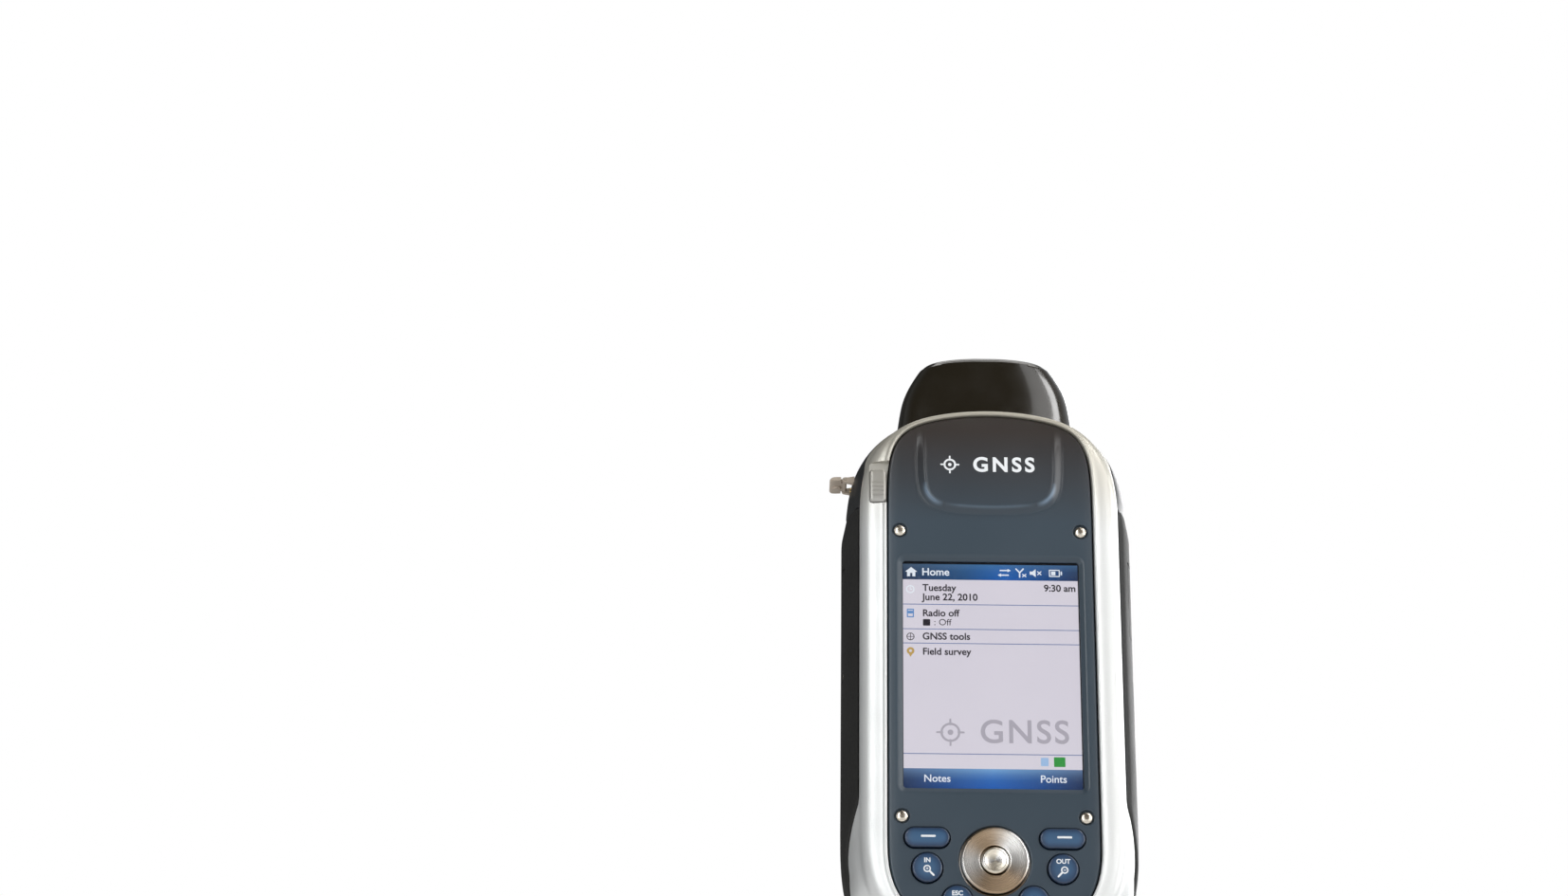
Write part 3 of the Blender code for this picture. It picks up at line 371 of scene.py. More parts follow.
def carve(ob, *cutters, operation="DIFFERENCE", sharp=38):
    """Boolean with each cutter bmesh, applied."""
    tools = []
    for bm in cutters:
        bmesh.ops.recalc_face_normals(bm, faces=bm.faces)
        if bm.calc_volume(signed=True) < 0:
            bmesh.ops.reverse_faces(bm, faces=bm.faces)
        for v in bm.verts:
            v.co = Vector(W(v.co))
        mesh = bpy.data.meshes.new("tool")
        bm.to_mesh(mesh)
        bm.free()
        tool = bpy.data.objects.new("tool", mesh)
        bpy.context.scene.collection.objects.link(tool)
        tools.append(tool)
        mod = ob.modifiers.new("cut", "BOOLEAN")
        mod.object, mod.operation, mod.solver = tool, operation, "EXACT"
    bpy.context.view_layer.update()
    done = bpy.data.meshes.new_from_object(ob.evaluated_get(bpy.context.evaluated_depsgraph_get()))
    ob.modifiers.clear()
    mats = list(ob.data.materials)
    ob.data = done
    if not done.materials:
        for m in mats:
            done.materials.append(m)
    done.name = ob.name
    for tool in tools:
        bpy.data.objects.remove(tool, do_unlink=True)
    done.shade_smooth()
    done.set_sharp_from_angle(angle=math.radians(sharp))
    return ob


def calm(ob):
    """Lets the broad flat faces set the shading at their corners, so that no fold shows beside a cut."""
    mod = ob.modifiers.new("calm", "WEIGHTED_NORMAL")
    mod.mode, mod.keep_sharp, mod.weight = "FACE_AREA", True, 50
    bpy.context.view_layer.update()
    done = bpy.data.meshes.new_from_object(ob.evaluated_get(bpy.context.evaluated_depsgraph_get()))
    ob.modifiers.clear()
    ob.data = done
    done.name = ob.name
    return ob


# ---------------------------------------------------------------- materials
class Mat:
    """Small helper to wire a Principled material."""

    def __init__(self, name, **values):
        self.mat = bpy.data.materials.new(name)
        self.mat.use_nodes = True
        self.t = self.mat.node_tree
        self.b = self.t.nodes["Principled BSDF"]
        for k, v in values.items():
            self.b.inputs[k.replace("_", " ")].default_value = v
        self.coord = None

    def node(self, kind, **props):
        n = self.t.nodes.new(kind)
        for k, v in props.items():
            setattr(n, k, v)
        return n

    def link(self, a, b):
        self.t.links.new(a, b)

    def obj(self):
        if self.coord is None:
            self.coord = self.node("ShaderNodeTexCoord")
        return self.coord.outputs["Object"]

    def noise(self, scale, detail=3.0, rough=0.5, stretch=None, vector=None):
        n = self.node("ShaderNodeTexNoise")
        n.inputs["Scale"].default_value = scale
        n.inputs["Detail"].default_value = detail
        n.inputs["Roughness"].default_value = rough
        src = vector or self.obj()
        if stretch:
            m = self.node("ShaderNodeMapping")
            m.inputs["Scale"].default_value = stretch
            self.link(src, m.inputs["Vector"])
            src = m.outputs["Vector"]
        self.link(src, n.inputs["Vector"])
        return n.outputs["Fac"]

    def voronoi(self, scale, feature="F1"):
        n = self.node("ShaderNodeTexVoronoi", feature=feature)
        n.inputs["Scale"].default_value = scale
        self.link(self.obj(), n.inputs["Vector"])
        return n.outputs["Distance"]

    def ramp(self, fac, stops):
        r = self.node("ShaderNodeValToRGB")
        self.link(fac, r.inputs["Fac"])
        e = r.color_ramp.elements
        while len(e) < len(stops):
            e.new(0.5)
        for el, (p, c) in zip(e, stops):
            el.position = p
            el.color = (*c, 1.0) if len(c) == 3 else c
        return r.outputs["Color"]

    def remap(self, fac, a, b, lo=0.0, hi=1.0):
        m = self.node("ShaderNodeMapRange")
        m.inputs["From Min"].default_value = lo
        m.inputs["From Max"].default_value = hi
        m.inputs["To Min"].default_value = a
        m.inputs["To Max"].default_value = b
        self.link(fac, m.inputs["Value"])
        return m.outputs["Result"]

    def math(self, op, a, b=None, c=None):
        m = self.node("ShaderNodeMath", operation=op)
        for i, v in enumerate((a, b, c)):
            if v is None:
                continue
            if isinstance(v, (int, float)):
                m.inputs[i].default_value = v
            else:
                self.link(v, m.inputs[i])
        return m.outputs[0]

    def xyz(self):
        s = self.node("ShaderNodeSeparateXYZ")
        self.link(self.obj(), s.inputs["Vector"])
        return s.outputs

    def mix(self, fac, a, b):
        m = self.node("ShaderNodeMix", data_type="RGBA")
        if isinstance(fac, (int, float)):
            m.inputs["Factor"].default_value = fac
        else:
            self.link(fac, m.inputs["Factor"])
        for key, v in (("A", a), ("B", b)):
            sock = [s for s in m.inputs if s.name == key and s.type == "RGBA"][0]
            if isinstance(v, tuple):
                sock.default_value = (*v, 1.0) if len(v) == 3 else v
            else:
                self.link(v, sock)
        return [s for s in m.outputs if s.type == "RGBA"][0]

    def bump(self, height, distance, strength=1.0):
        b = self.node("ShaderNodeBump")
        b.inputs["Strength"].default_value = strength
        b.inputs["Distance"].default_value = distance
        self.link(height, b.inputs["Height"])
        if getattr(self, "last_bump", None):
            self.link(self.last_bump, b.inputs["Normal"])
        self.last_bump = b.outputs["Normal"]
        self.link(self.last_bump, self.b.inputs["Normal"])
        return self.last_bump

    def color(self, out):
        self.link(out, self.b.inputs["Base Color"])

    def rough(self, out):
        self.link(out, self.b.inputs["Roughness"])


def plastic(name, base, rough, grain=900.0, depth=0.00002, vary=0.12, spec=0.5, rough_vary=0.06, coat=0.0, coat_rough=0.1, big=30.0):
    m = Mat(name, Specular_IOR_Level=spec, Coat_Weight=coat, Coat_Roughness=coat_rough)
    broad = m.noise(big, 3.0)
    fine = m.noise(grain * 0.35, 4.0)
    lo, hi = tuple(c * (1 - vary) for c in base), tuple(min(1, c * (1 + vary)) for c in base)
    m.color(m.mix(m.math("MULTIPLY_ADD", fine, 0.35, m.math("MULTIPLY", broad, 0.65)), lo, hi))
    m.rough(m.remap(broad, rough - rough_vary, rough + rough_vary, 0.3, 0.7))
    m.bump(m.noise(grain, 2.0), depth)
    return m


def make_materials():
    M = {}
    # dark blue-grey moulded panel with a fine spark texture
    m = plastic("bezel_plastic", (0.040, 0.050, 0.063), 0.38, grain=4200, depth=0.000012, vary=0.07, spec=0.5, rough_vary=0.03, big=18)
    height = m.math("MULTIPLY_ADD", m.xyz()[2], 1000.0, Z_MOUNT)
    haze = m.noise(34.0, 3.0)
    blue = m.mix(haze, (0.034, 0.053, 0.072), (0.042, 0.061, 0.082))
    # painted reflection: the panel turns warm brown towards its top, standing in for the warm room that the upper panel
    # mirrors
    warm = m.mix(haze, (0.027, 0.021, 0.018), (0.034, 0.027, 0.024))
    panel = m.mix(m.ramp(m.remap(height, 0.0, 1.0, 84.0, 114.0), [(0.0, (0, 0, 0)), (0.5, (0.55, 0.55, 0.55)), (1.0, (1, 1, 1))]), blue, warm)
    # painted highlight: the colour of the boss lip is lightened at its lower corners, and a little along its lower
    # edge, and its roughness is lowered there
    wide = m.math("ABSOLUTE", m.math("MULTIPLY", m.xyz()[0], 1000.0))
    dx, dz = m.math("SUBTRACT", wide, 13.23), m.math("SUBTRACT", height, 95.9)
    reach = m.math("SQRT", m.math("ADD", m.math("MULTIPLY", dx, dx), m.math("MULTIPLY", dz, dz)))
    off = m.math("MULTIPLY", m.math("SUBTRACT", reach, 6.6), 1.7)
    aim = m.math("DIVIDE", m.math("SUBTRACT", m.math("MULTIPLY", dx, 0.80), m.math("MULTIPLY", dz, 0.60)), m.math("MAXIMUM", reach, 0.01))
    corner = m.math("MULTIPLY", m.math("EXPONENT", m.math("MULTIPLY", m.math("MULTIPLY", off, off), -1.0)), m.remap(aim, 0.0, 0.8, 0.72, 0.97))
    sag = m.math("MULTIPLY_ADD", m.math("MULTIPLY", wide, wide), 0.0045, 88.45)
    off = m.math("MULTIPLY", m.math("SUBTRACT", height, sag), 2.2)
    edge = m.math("MULTIPLY", m.math("EXPONENT", m.math("MULTIPLY", m.math("MULTIPLY", off, off), -1.0)), m.remap(wide, 0.24, 0.0, 9.0, 14.0))
    painted_highlight_and_polish = m.math("MAXIMUM", corner, edge)
    m.color(m.mix(painted_highlight_and_polish, panel, (0.17, 0.24, 0.32)))
    m.rough(m.math("MULTIPLY_ADD", painted_highlight_and_polish, -0.14, m.b.inputs["Roughness"].links[0].from_socket))
    M["bezel"] = m.mat
    # satin silver lacquer: fine metallic flake under clear
    for key, lo, hi, metal in (("silver", (0.63, 0.64, 0.635), (0.74, 0.75, 0.745), 0.46), ("tab", (0.42, 0.42, 0.415), (0.52, 0.52, 0.51), 0.45)):
        m = Mat("silver_lacquer_" + key, Metallic=metal, Specular_IOR_Level=0.5, Coat_Weight=0.25, Coat_Roughness=0.3)
        flake = m.voronoi(5200.0)
        broad = m.noise(22.0, 3.0)
        plain = m.mix(m.math("MULTIPLY_ADD", flake, 0.5, m.math("MULTIPLY", broad, 0.5)), lo, hi)
        # painted reflection: towards the top the colour turns darker and warm, standing in for the warm room reflected
        # there
        high = m.math("MULTIPLY_ADD", m.xyz()[2], 1000.0, Z_MOUNT)
        painted_top_reflection = m.mix(broad, tuple(c * k for c, k in zip(lo, (0.68, 0.63, 0.53))), tuple(c * k for c, k in zip(hi, (0.72, 0.67, 0.57))))
        m.color(m.mix(m.ramp(m.remap(high, 0.0, 1.0, 80.0, 116.0), [(0.0, (0, 0, 0)), (0.45, (0.6, 0.6, 0.6)), (1.0, (1, 1, 1))]), plain, painted_top_reflection))
        m.rough(m.remap(m.noise(60.0, 4.0), 0.38, 0.48, 0.3, 0.7))
        m.bump(m.noise(3000.0, 2.0), 0.000005)
        M[key] = m.mat
    # charcoal ABS with a spark-eroded texture
    M["housing"] = plastic("housing_abs", (0.019, 0.020, 0.021), 0.46, grain=2600, depth=0.00004, vary=0.15, spec=0.42).mat
    # over-moulded rubber: leather-like grain, dull, a little dusty
    m = Mat("grip_rubber", Specular_IOR_Level=0.28)
    cell = m.voronoi(1050.0)
    broad = m.noise(35.0, 4.0)
    m.color(m.mix(m.math("MULTIPLY_ADD", cell, 0.4, m.math("MULTIPLY", broad, 0.6)), (0.011, 0.011, 0.0105), (0.024, 0.0235, 0.0225)))
    m.rough(m.remap(broad, 0.54, 0.70, 0.3, 0.7))
    m.bump(cell, 0.00010, 0.55)
    m.bump(m.noise(5200.0, 2.0), 0.00002)
    M["grip"] = m.mat
    # polished black radome
    m = Mat("hood_gloss", Specular_IOR_Level=0.55, Coat_Weight=0.6, Coat_Roughness=0.08)
    broad = m.noise(14.0, 3.0)
    m.color(m.mix(broad, (0.010, 0.008, 0.005), (0.020, 0.017, 0.011)))
    m.rough(m.remap(m.noise(120.0, 5.0), 0.14, 0.24, 0.3, 0.7))
    m.bump(m.noise(260.0, 3.0), 0.000012)
    M["hood"] = m.mat
    # navy keys
    # caps painted lighter over the crown and deep navy round the shoulder: painted shading of the domed top
    m = Mat("key_navy", Specular_IOR_Level=0.5, Coat_Weight=0.3, Coat_Roughness=0.16)
    depth = m.math("MULTIPLY_ADD", m.xyz()[1], 1000.0, Y_BACK)
    broad = m.noise(60.0, 3.0)
    crown = m.ramp(m.remap(depth, 0.0, 1.0, -1.14, -0.35), [(0.0, (0.050, 0.118, 0.222)), (0.10, (0.044, 0.104, 0.200)), (0.26, (0.021, 0.050, 0.110)), (0.42, (0.010, 0.024, 0.056)), (1.0, (0.006, 0.014, 0.036))])
    m.color(m.mix(m.remap(broad, 0.0, 0.22, 0.35, 0.65), crown, (0.022, 0.050, 0.100)))
    m.rough(m.remap(broad, 0.28, 0.36, 0.3, 0.7))
    m.bump(m.noise(3800.0, 2.0), 0.000010)
    M["key"] = m.mat
    # battery pack: dark case with a pale wrap-round label that carries a plain band and rules
    m = Mat("cell_case", Specular_IOR_Level=0.4)
    sx, _, sz = m.xyz()
    x = m.math("MULTIPLY", sx, 1000.0)
    z = m.math("MULTIPLY_ADD", sz, 1000.0, Z_MOUNT)
    n = m.noise(300.0, 3.0)

    def within(v, mid, half):
        return m.math("LESS_THAN", m.math("ABSOLUTE", m.math("SUBTRACT", v, mid)), half)
    case = m.mix(n, (0.030, 0.031, 0.033), (0.042, 0.043, 0.045))
    paper = m.mix(n, (0.44, 0.45, 0.46), (0.52, 0.53, 0.54))
    label = m.mix(m.math("MULTIPLY", within(x, 0.0, 21.5), within(z, 2.0, 23.0)), case, paper)
    label = m.mix(m.math("MULTIPLY", within(x, 0.0, 21.5), within(z, 21.0, 4.0)), label, (0.030, 0.075, 0.150))
    rules = None
    for at, half in ((11.0, 0.5), (8.0, 0.3), (5.5, 0.3), (3.0, 0.3), (-2.0, 0.3), (-4.5, 0.3)):
        one = within(z, at, half)
        rules = one if rules is None else m.math("MAXIMUM", rules, one)
    label = m.mix(m.math("MULTIPLY", rules, within(x, 3.0, 14.0)), label, (0.10, 0.10, 0.11))
    m.color(label)
    m.rough(m.remap(n, 0.42, 0.55, 0.3, 0.7))
    m.bump(m.noise(2200.0, 2.0), 0.00001)
    M["cell"] = m.mat
    m = plastic("legend_white", (0.80, 0.82, 0.84), 0.42, grain=5000, depth=0.000006, vary=0.04)
    M["legend"] = m.mat
    # spun metal: rings of fine tool marks, radial streaks of reflection, and painted highlight fans in the colour
    for key, base, rough, ring in (("spun", (0.42, 0.305, 0.20), 0.27, 34000.0), ("spun_light", (0.74, 0.68, 0.57), 0.24, 34000.0)):
        m = Mat(key + "_metal", Metallic=1.0, Anisotropic=0.85)
        sx, sy, sz = m.xyz()
        cx = m.math("SUBTRACT", sx, NAV[0] * 0.001)
        cz = m.math("SUBTRACT", sz, (NAV[1] - Z_MOUNT) * 0.001)
        rad = m.math("SQRT", m.math("ADD", m.math("MULTIPLY", cx, cx), m.math("MULTIPLY", cz, cz)))
        groove = m.math("SINE", m.math("MULTIPLY", rad, ring))
        comb = m.node("ShaderNodeCombineXYZ")
        m.link(m.math("MULTIPLY", rad, 9.0), comb.inputs["X"])
        streak = m.noise(900.0, 3.0, vector=comb.outputs["Vector"])
        # the lathe marks turn the shine into two pairs of fans
        # painted highlight: two pairs of bright fans are painted into the colour by angle round the centre, standing in
        # for the shine that the lathe marks spread into fans
        ang = m.math("ARCTAN2", cz, cx)
        painted_fans = m.math("MULTIPLY_ADD", m.math("COSINE", m.math("MULTIPLY_ADD", ang, 2.0, -0.35)), 0.5, 0.5)
        painted_fans = m.math("ADD", m.math("POWER", painted_fans, 3.0), m.math("MULTIPLY", m.math("POWER", m.math("MULTIPLY_ADD", m.math("COSINE", m.math("MULTIPLY_ADD", ang, 1.0, -0.85)), 0.5, 0.5), 14.0), 0.8))
        turned = m.mix(streak, tuple(c * 0.86 for c in base), tuple(min(1, c * 1.1) for c in base))
        m.color(m.mix(m.remap(painted_fans, 0.0, 1.0, 0.0, 1.0), turned, (0.97, 0.95, 0.92)))
        m.rough(m.remap(streak, rough - 0.05, rough + 0.07, 0.3, 0.7))
        m.bump(groove, 0.0000011)
        m.bump(streak, 0.000004)
        tan = m.node("ShaderNodeTangent", direction_type="RADIAL", axis="Y")
        m.link(tan.outputs["Tangent"], m.b.inputs["Tangent"])
        M[key] = m.mat
    # stainless screws
    m = Mat("stainless", Metallic=1.0)
    n = m.noise(700.0, 4.0)
    m.color(m.mix(n, (0.72, 0.65, 0.54), (0.88, 0.82, 0.72)))
    m.rough(m.remap(n, 0.22, 0.34, 0.3, 0.7))
    m.bump(m.noise(2400.0, 2.0), 0.000006)
    M["steel"] = m.mat
    # painted shade: darker steel colour for the floor of the screws' hex sockets, standing in for the shade in the
    # recess
    m = Mat("socket_painted_shade", Metallic=0.6)
    n = m.noise(900.0, 3.0)
    m.color(m.mix(n, (0.20, 0.17, 0.14), (0.32, 0.28, 0.23)))
    m.rough(m.remap(n, 0.4, 0.6))
    M["socket"] = m.mat
    M["black"] = plastic("black_mask", (0.010, 0.011, 0.012), 0.35, grain=2500, depth=0.00001, vary=0.2).mat
    M["seal"] = plastic("silicone_seal", (0.018, 0.018, 0.018), 0.62, grain=1500, depth=0.00003, vary=0.2, spec=0.35).mat
    M["board"] = plastic("solder_mask", (0.02, 0.13, 0.05), 0.32, grain=800, depth=0.00002, vary=0.25).mat
    m = Mat("tin_plate", Metallic=1.0)
    n = m.noise(150.0, 5.0)
    m.color(m.mix(n, (0.58, 0.58, 0.57), (0.72, 0.72, 0.71)))
    m.rough(m.remap(n, 0.28, 0.45, 0.3, 0.7))
    m.bump(m.noise(900.0, 2.0), 0.00002)
    M["can"] = m.mat
    m = Mat("cast_carrier", Metallic=0.85)
    n = m.noise(260.0, 5.0)
    m.color(m.mix(n, (0.36, 0.37, 0.38), (0.50, 0.51, 0.52)))
    m.rough(m.remap(n, 0.4, 0.6, 0.3, 0.7))
    m.bump(m.noise(1300.0, 3.0), 0.00004)
    M["carrier"] = m.mat
    M["ceramic"] = plastic("patch_ceramic", (0.68, 0.58, 0.42), 0.5, grain=1200, depth=0.00002, vary=0.1).mat
    M["dark"] = plastic("dark_moulding", (0.022, 0.023, 0.025), 0.42, grain=2400, depth=0.00002, vary=0.18).mat
    m = Mat("gold_flash", Metallic=1.0)
    n = m.noise(500.0, 4.0)
    m.color(m.mix(n, (0.72, 0.50, 0.20), (0.85, 0.66, 0.32)))
    m.rough(m.remap(n, 0.2, 0.34, 0.3, 0.7))
    M["brass"] = m.mat
    # soft flap: pale sand colour inside face, dark outside
    M["flap"] = plastic("flap_rubber_light", (0.44, 0.37, 0.30), 0.62, grain=1400, depth=0.00003, vary=0.12, spec=0.35).mat
    M["flap_dark"] = plastic("flap_rubber_dark", (0.045, 0.045, 0.046), 0.62, grain=1400, depth=0.00003, vary=0.15, spec=0.35).mat
    m = Mat("lens_black", Specular_IOR_Level=0.6, Coat_Weight=1.0, Coat_Roughness=0.02)
    n = m.noise(200.0, 2.0)
    m.color(m.mix(n, (0.004, 0.004, 0.007), (0.010, 0.010, 0.016)))
    m.rough(m.remap(n, 0.05, 0.09))
    M["lens"] = m.mat
    # touch glass
    m = Mat("touch_glass", Transmission_Weight=1.0, IOR=1.46)
    n = m.noise(45.0, 4.0)
    m.color(m.mix(n, (0.94, 0.96, 0.97), (0.97, 0.98, 0.99)))
    m.rough(m.remap(n, 0.01, 0.035, 0.3, 0.7))
    M["glass"] = m.mat
    return M


M = make_materials()
print("materials done")


# ---------------------------------------------------------------- front bezel
def mirrored(half):
    """Closed counter-clockwise loop from the right half, which runs from the top to the bottom."""
    right = [tuple(p) for p in half]
    left = [(-x, z) for x, z in right[1:-1]][::-1]
    return (right + left)[::-1]


def seg_distance(px, pz, loop, closed=True):
    """Distance of each point to the polyline."""
    a = np.array(loop, float)
    b = np.roll(a, -1, 0) if closed else a[1:]
    if not closed:
        a = a[:-1]
    out = np.full(len(px), 1e9)
    for s in range(0, len(px), 4000):
        p = np.stack([px[s:s + 4000], pz[s:s + 4000]], 1)[:, None]
        e = (b - a)[None]
        t = np.clip(((p - a[None]) * e).sum(2) / np.maximum(1e-12, (e ** 2).sum(2)), 0, 1)
        out[s:s + 4000] = np.sqrt((((p - a[None]) - e * t[..., None]) ** 2).sum(2)).min(1)
    return out


def inside_mask(px, pz, loop):
    a = np.array(loop, float)
    b = np.roll(a, -1, 0)
    odd = np.zeros(len(px), bool)
    for (ax, az), (bx, bz) in zip(a, b):
        cross = (az > pz) != (bz > pz)
        with np.errstate(divide="ignore", invalid="ignore"):
            xs = (bx - ax) * (pz - az) / (bz - az) + ax
        odd ^= cross & (px < xs)
    return odd


def drop(d, r):
    d = np.clip(d, 0, r)
    return r - np.sqrt(np.maximum(0, r * r - (r - d) ** 2))


def nsmooth(a, b, t):
    u = np.clip((t - a) / (b - a), 0, 1)
    return u * u * (3 - 2 * u)


BOSS = mirrored(catmull([(0, 124.0), (12, 123.5), (20.6, 121.0), (22.0, 114.0), (22.1, 106), (21.9, 99.0), (21.2, 94.0), (19.3, 90.4), (15.6, 88.2), (9.5, 87.0), (0, 86.6)], 10))
KEY_HOLES = [
    (dense(stadium(-SOFTKEY[0], SOFTKEY[1], SOFTKEY[2] + 0.6, SOFTKEY[3] + 0.6), 0.5), 0.32),
    (dense(stadium(SOFTKEY[0], SOFTKEY[1], SOFTKEY[2] + 0.6, SOFTKEY[3] + 0.6), 0.5), 0.32),
    (circle(-ZOOM_KEY[0], ZOOM_KEY[1], ZOOM_KEY[2] + 0.3, 72), 0.32),
    (circle(ZOOM_KEY[0], ZOOM_KEY[1], ZOOM_KEY[2] + 0.3, 72), 0.32),
    (circle(-LOW_KEY[0], LOW_KEY[1], LOW_KEY[2] + 0.3, 72), 0.32),
    (circle(LOW_KEY[0], LOW_KEY[1], LOW_KEY[2] + 0.3, 72), 0.32),
    (circle(POWER_KEY[0], POWER_KEY[1], POWER_KEY[2] + 0.3, 48), 0.28),
    (circle(NAV[0], NAV[1], NAV[2] + 0.45, 128), 0.55),
]
SCREW_HOLES = [(circle(x, z, 2.35, 40), 0.22) for x, z in BEZEL_SCREWS]
WINDOW = dense(rounded(-26.9, 26.9, -0.3, 71.4, 1.0, 6), 1.2)
BEZEL_LOOP = mirrored(BEZEL_LINE[::2] if len(BEZEL_LINE) % 2 else np.vstack([BEZEL_LINE[::2], BEZEL_LINE[-1:]]))


def bezel_y(px, pz):
    """Depth of the front face at each point."""
    y = drop(seg_distance(px, pz, BEZEL_LOOP), 0.55)
    # the side strips fall away a little towards the frame
    side = np.clip((np.abs(px) - 27.2) / 4.0, 0, 1)
    y = y + 0.34 * side * side
    low = np.clip((-30.0 - pz) / 12.8, 0, 1)
    y = y + 0.45 * low * low
    d = seg_distance(px, pz, BOSS) * np.where(inside_mask(px, pz, BOSS), 1.0, -1.0)
    fade = 1 - nsmooth(103.0, 116.0, pz)
    rise = nsmooth(-0.25, 1.9, d)
    y = y - fade * (1.25 * rise + 0.16 * np.exp(-((d - 2.1) / 0.45) ** 2)) + 0.14 * fade * np.exp(-((d + 0.35) / 0.4) ** 2)
    # the plateau dips a little towards its middle
    y = y + 0.30 * fade * nsmooth(2.4, 12.0, d)
    for loop, r in KEY_HOLES + SCREW_HOLES:
        near = (px > min(p[0] for p in loop) - 1) & (px < max(p[0] for p in loop) + 1) & (pz > min(p[1] for p in loop) - 1) & (pz < max(p[1] for p in loop) + 1)
        if near.any():
            dd = seg_distance(px[near], pz[near], loop)
            y[near] = y[near] + drop(dd, r)
    w = seg_distance(px, pz, WINDOW)
    cham = np.where(w < 1.1, 1.0 - w / 1.55, np.where(w < 2.0, 0.358 * (2.0 - w) ** 2, 0.0))
    return y + cham


def build_bezel():
    cons = [(BEZEL_LOOP, 1)] + [(h, -1) for h, _ in KEY_HOLES + SCREW_HOLES] + [(WINDOW, -1)]
    pts, edges, loops_idx = [], [], []
    for loop, _ in cons:
        base = len(pts)
        pts += [tuple(p) for p in loop]
        idx = list(range(base, len(pts)))
        loops_idx.append(idx)
        edges += [(idx[i], idx[(i + 1) % len(idx)]) for i in range(len(idx))]
    free = []
    for inset in (0.05, 0.14, 0.28, 0.45, 0.7, 1.3, 2.2, 3.2):
        free += shrink(BEZEL_LOOP, inset)
    for k, (loop, r) in enumerate(KEY_HOLES + SCREW_HOLES):
        for o in (0.12 * r, 0.35 * r, 0.65 * r, r, r + 0.35):
            free += shrink(loop, -o)
    for o in (0.5, 1.1, 1.25, 1.4, 1.6, 1.8, 2.0, 2.4):
        free += dense(rounded(-26.9 - o, 26.9 + o, -0.3 - o, 71.4 + o, 1.0 + o, 8), 1.2)
    for o in (-1.1, -0.8, -0.55, -0.35, -0.15, 0.1, 0.35, 0.6, 0.85, 1.1, 1.35, 1.6, 1.8, 2.0, 2.2, 2.4, 2.7, 3.2, 4.0, 5.2):
        free += [p for p in shrink(BOSS, o) if p[1] < 118.5]
    step = 1.5
    row, z = 0, -43.0
    while z < 119.5:
        x = -31.5 + (0.5 * step if row % 2 else 0.0)
        while x < 31.6:
            free.append((x, z))
            x += step
        z += step * 0.866
        row += 1
    f = np.array(free)
    keep = inside_mask(f[:, 0], f[:, 1], BEZEL_LOOP)
    for loop, _ in cons[1:]:
        keep &= ~inside_mask(f[:, 0], f[:, 1], loop)
    f = f[keep]
    near_edge = np.full(len(f), 1e9)
    for loop, _ in cons:
        near_edge = np.minimum(near_edge, seg_distance(f[:, 0], f[:, 1], loop))
    f = f[near_edge > 0.02]
    # thin out points that all but touch an earlier one
    cell, chosen = {}, []
    for i, (x, z) in enumerate(f):
        key = (int(math.floor(x / 0.12)), int(math.floor(z / 0.12)))
        if any((key[0] + a, key[1] + b) in cell and math.hypot(cell[(key[0] + a, key[1] + b)][0] - x, cell[(key[0] + a, key[1] + b)][1] - z) < 0.05
               for a in (-1, 0, 1) for b in (-1, 0, 1)):
            continue
        cell[key] = (x, z)
        chosen.append(i)
    f = f[chosen]
    allp = [Vector(p) for p in pts] + [Vector(p) for p in f]
    got, _, tris, orig, _, _ = delaunay_2d_cdt(allp, edges, [], 0, 1e-7, True)
    P = np.array([(p.x, p.y) for p in got])
    to_new = {}
    for new, olds in enumerate(orig):
        for o in olds:
            to_new[o] = new
    T = np.array([t for t in tris if len(t) == 3])
    cen = P[T].mean(1)
    keep = inside_mask(cen[:, 0], cen[:, 1], BEZEL_LOOP)
    for loop, _ in cons[1:]:
        keep &= ~inside_mask(cen[:, 0], cen[:, 1], loop)
    T = T[keep]
    Y = bezel_y(P[:, 0], P[:, 1])
    # the slope at an outline is read just inside the material, where the distance to it is smooth
    Q = P.copy()
    for (loop, sign), idx in zip(cons, loops_idx):
        a = np.array(loop, float)
        t = np.roll(a, -1, 0) - np.roll(a, 1, 0)
        t /= np.maximum(1e-9, np.linalg.norm(t, axis=1))[:, None]
        nrm = np.stack([t[:, 1], -t[:, 0]], 1)
        probe = a + 0.05 * nrm
        inside = inside_mask(probe[:, 0], probe[:, 1], loop)
        nrm[inside != (sign > 0)] *= -1
        for k, i in enumerate(idx):
            Q[to_new[i]] = a[k] + 0.045 * nrm[k]
    e = 0.012
    gx = (bezel_y(Q[:, 0] + e, Q[:, 1]) - bezel_y(Q[:, 0] - e, Q[:, 1])) / (2 * e)
    gz = (bezel_y(Q[:, 0], Q[:, 1] + e) - bezel_y(Q[:, 0], Q[:, 1] - e)) / (2 * e)
    N = np.stack([gx, -np.ones(len(P)), gz], 1)
    N /= np.linalg.norm(N, axis=1)[:, None]
    verts = [(x, y, z) for (x, z), y in zip(P, Y)]
    faces, normals = [], []
    area = (P[T[:, 1], 0] - P[T[:, 0], 0]) * (P[T[:, 2], 1] - P[T[:, 0], 1]) - (P[T[:, 2], 0] - P[T[:, 0], 0]) * (P[T[:, 1], 1] - P[T[:, 0], 1])
    for t, a in zip(T, area):
        t = [int(i) for i in t]
        t = t if a > 0 else t[::-1]  # counter-clockwise in x, z faces -y
        faces.append(t)
        normals += [tuple(N[i]) for i in t]

    def add_wall(ring_a, ring_b):
        for i in range(len(ring_a)):
            j = (i + 1) % len(ring_a)
            faces.append([ring_a[i], ring_b[i], ring_b[j], ring_a[j]])
            normals.extend([(0.0, 0.0, 0.0)] * 4)

    def new_ring(loop, y):
        base = len(verts)
        verts.extend((x, y, z) for x, z in loop)
        return list(range(base, base + len(loop)))

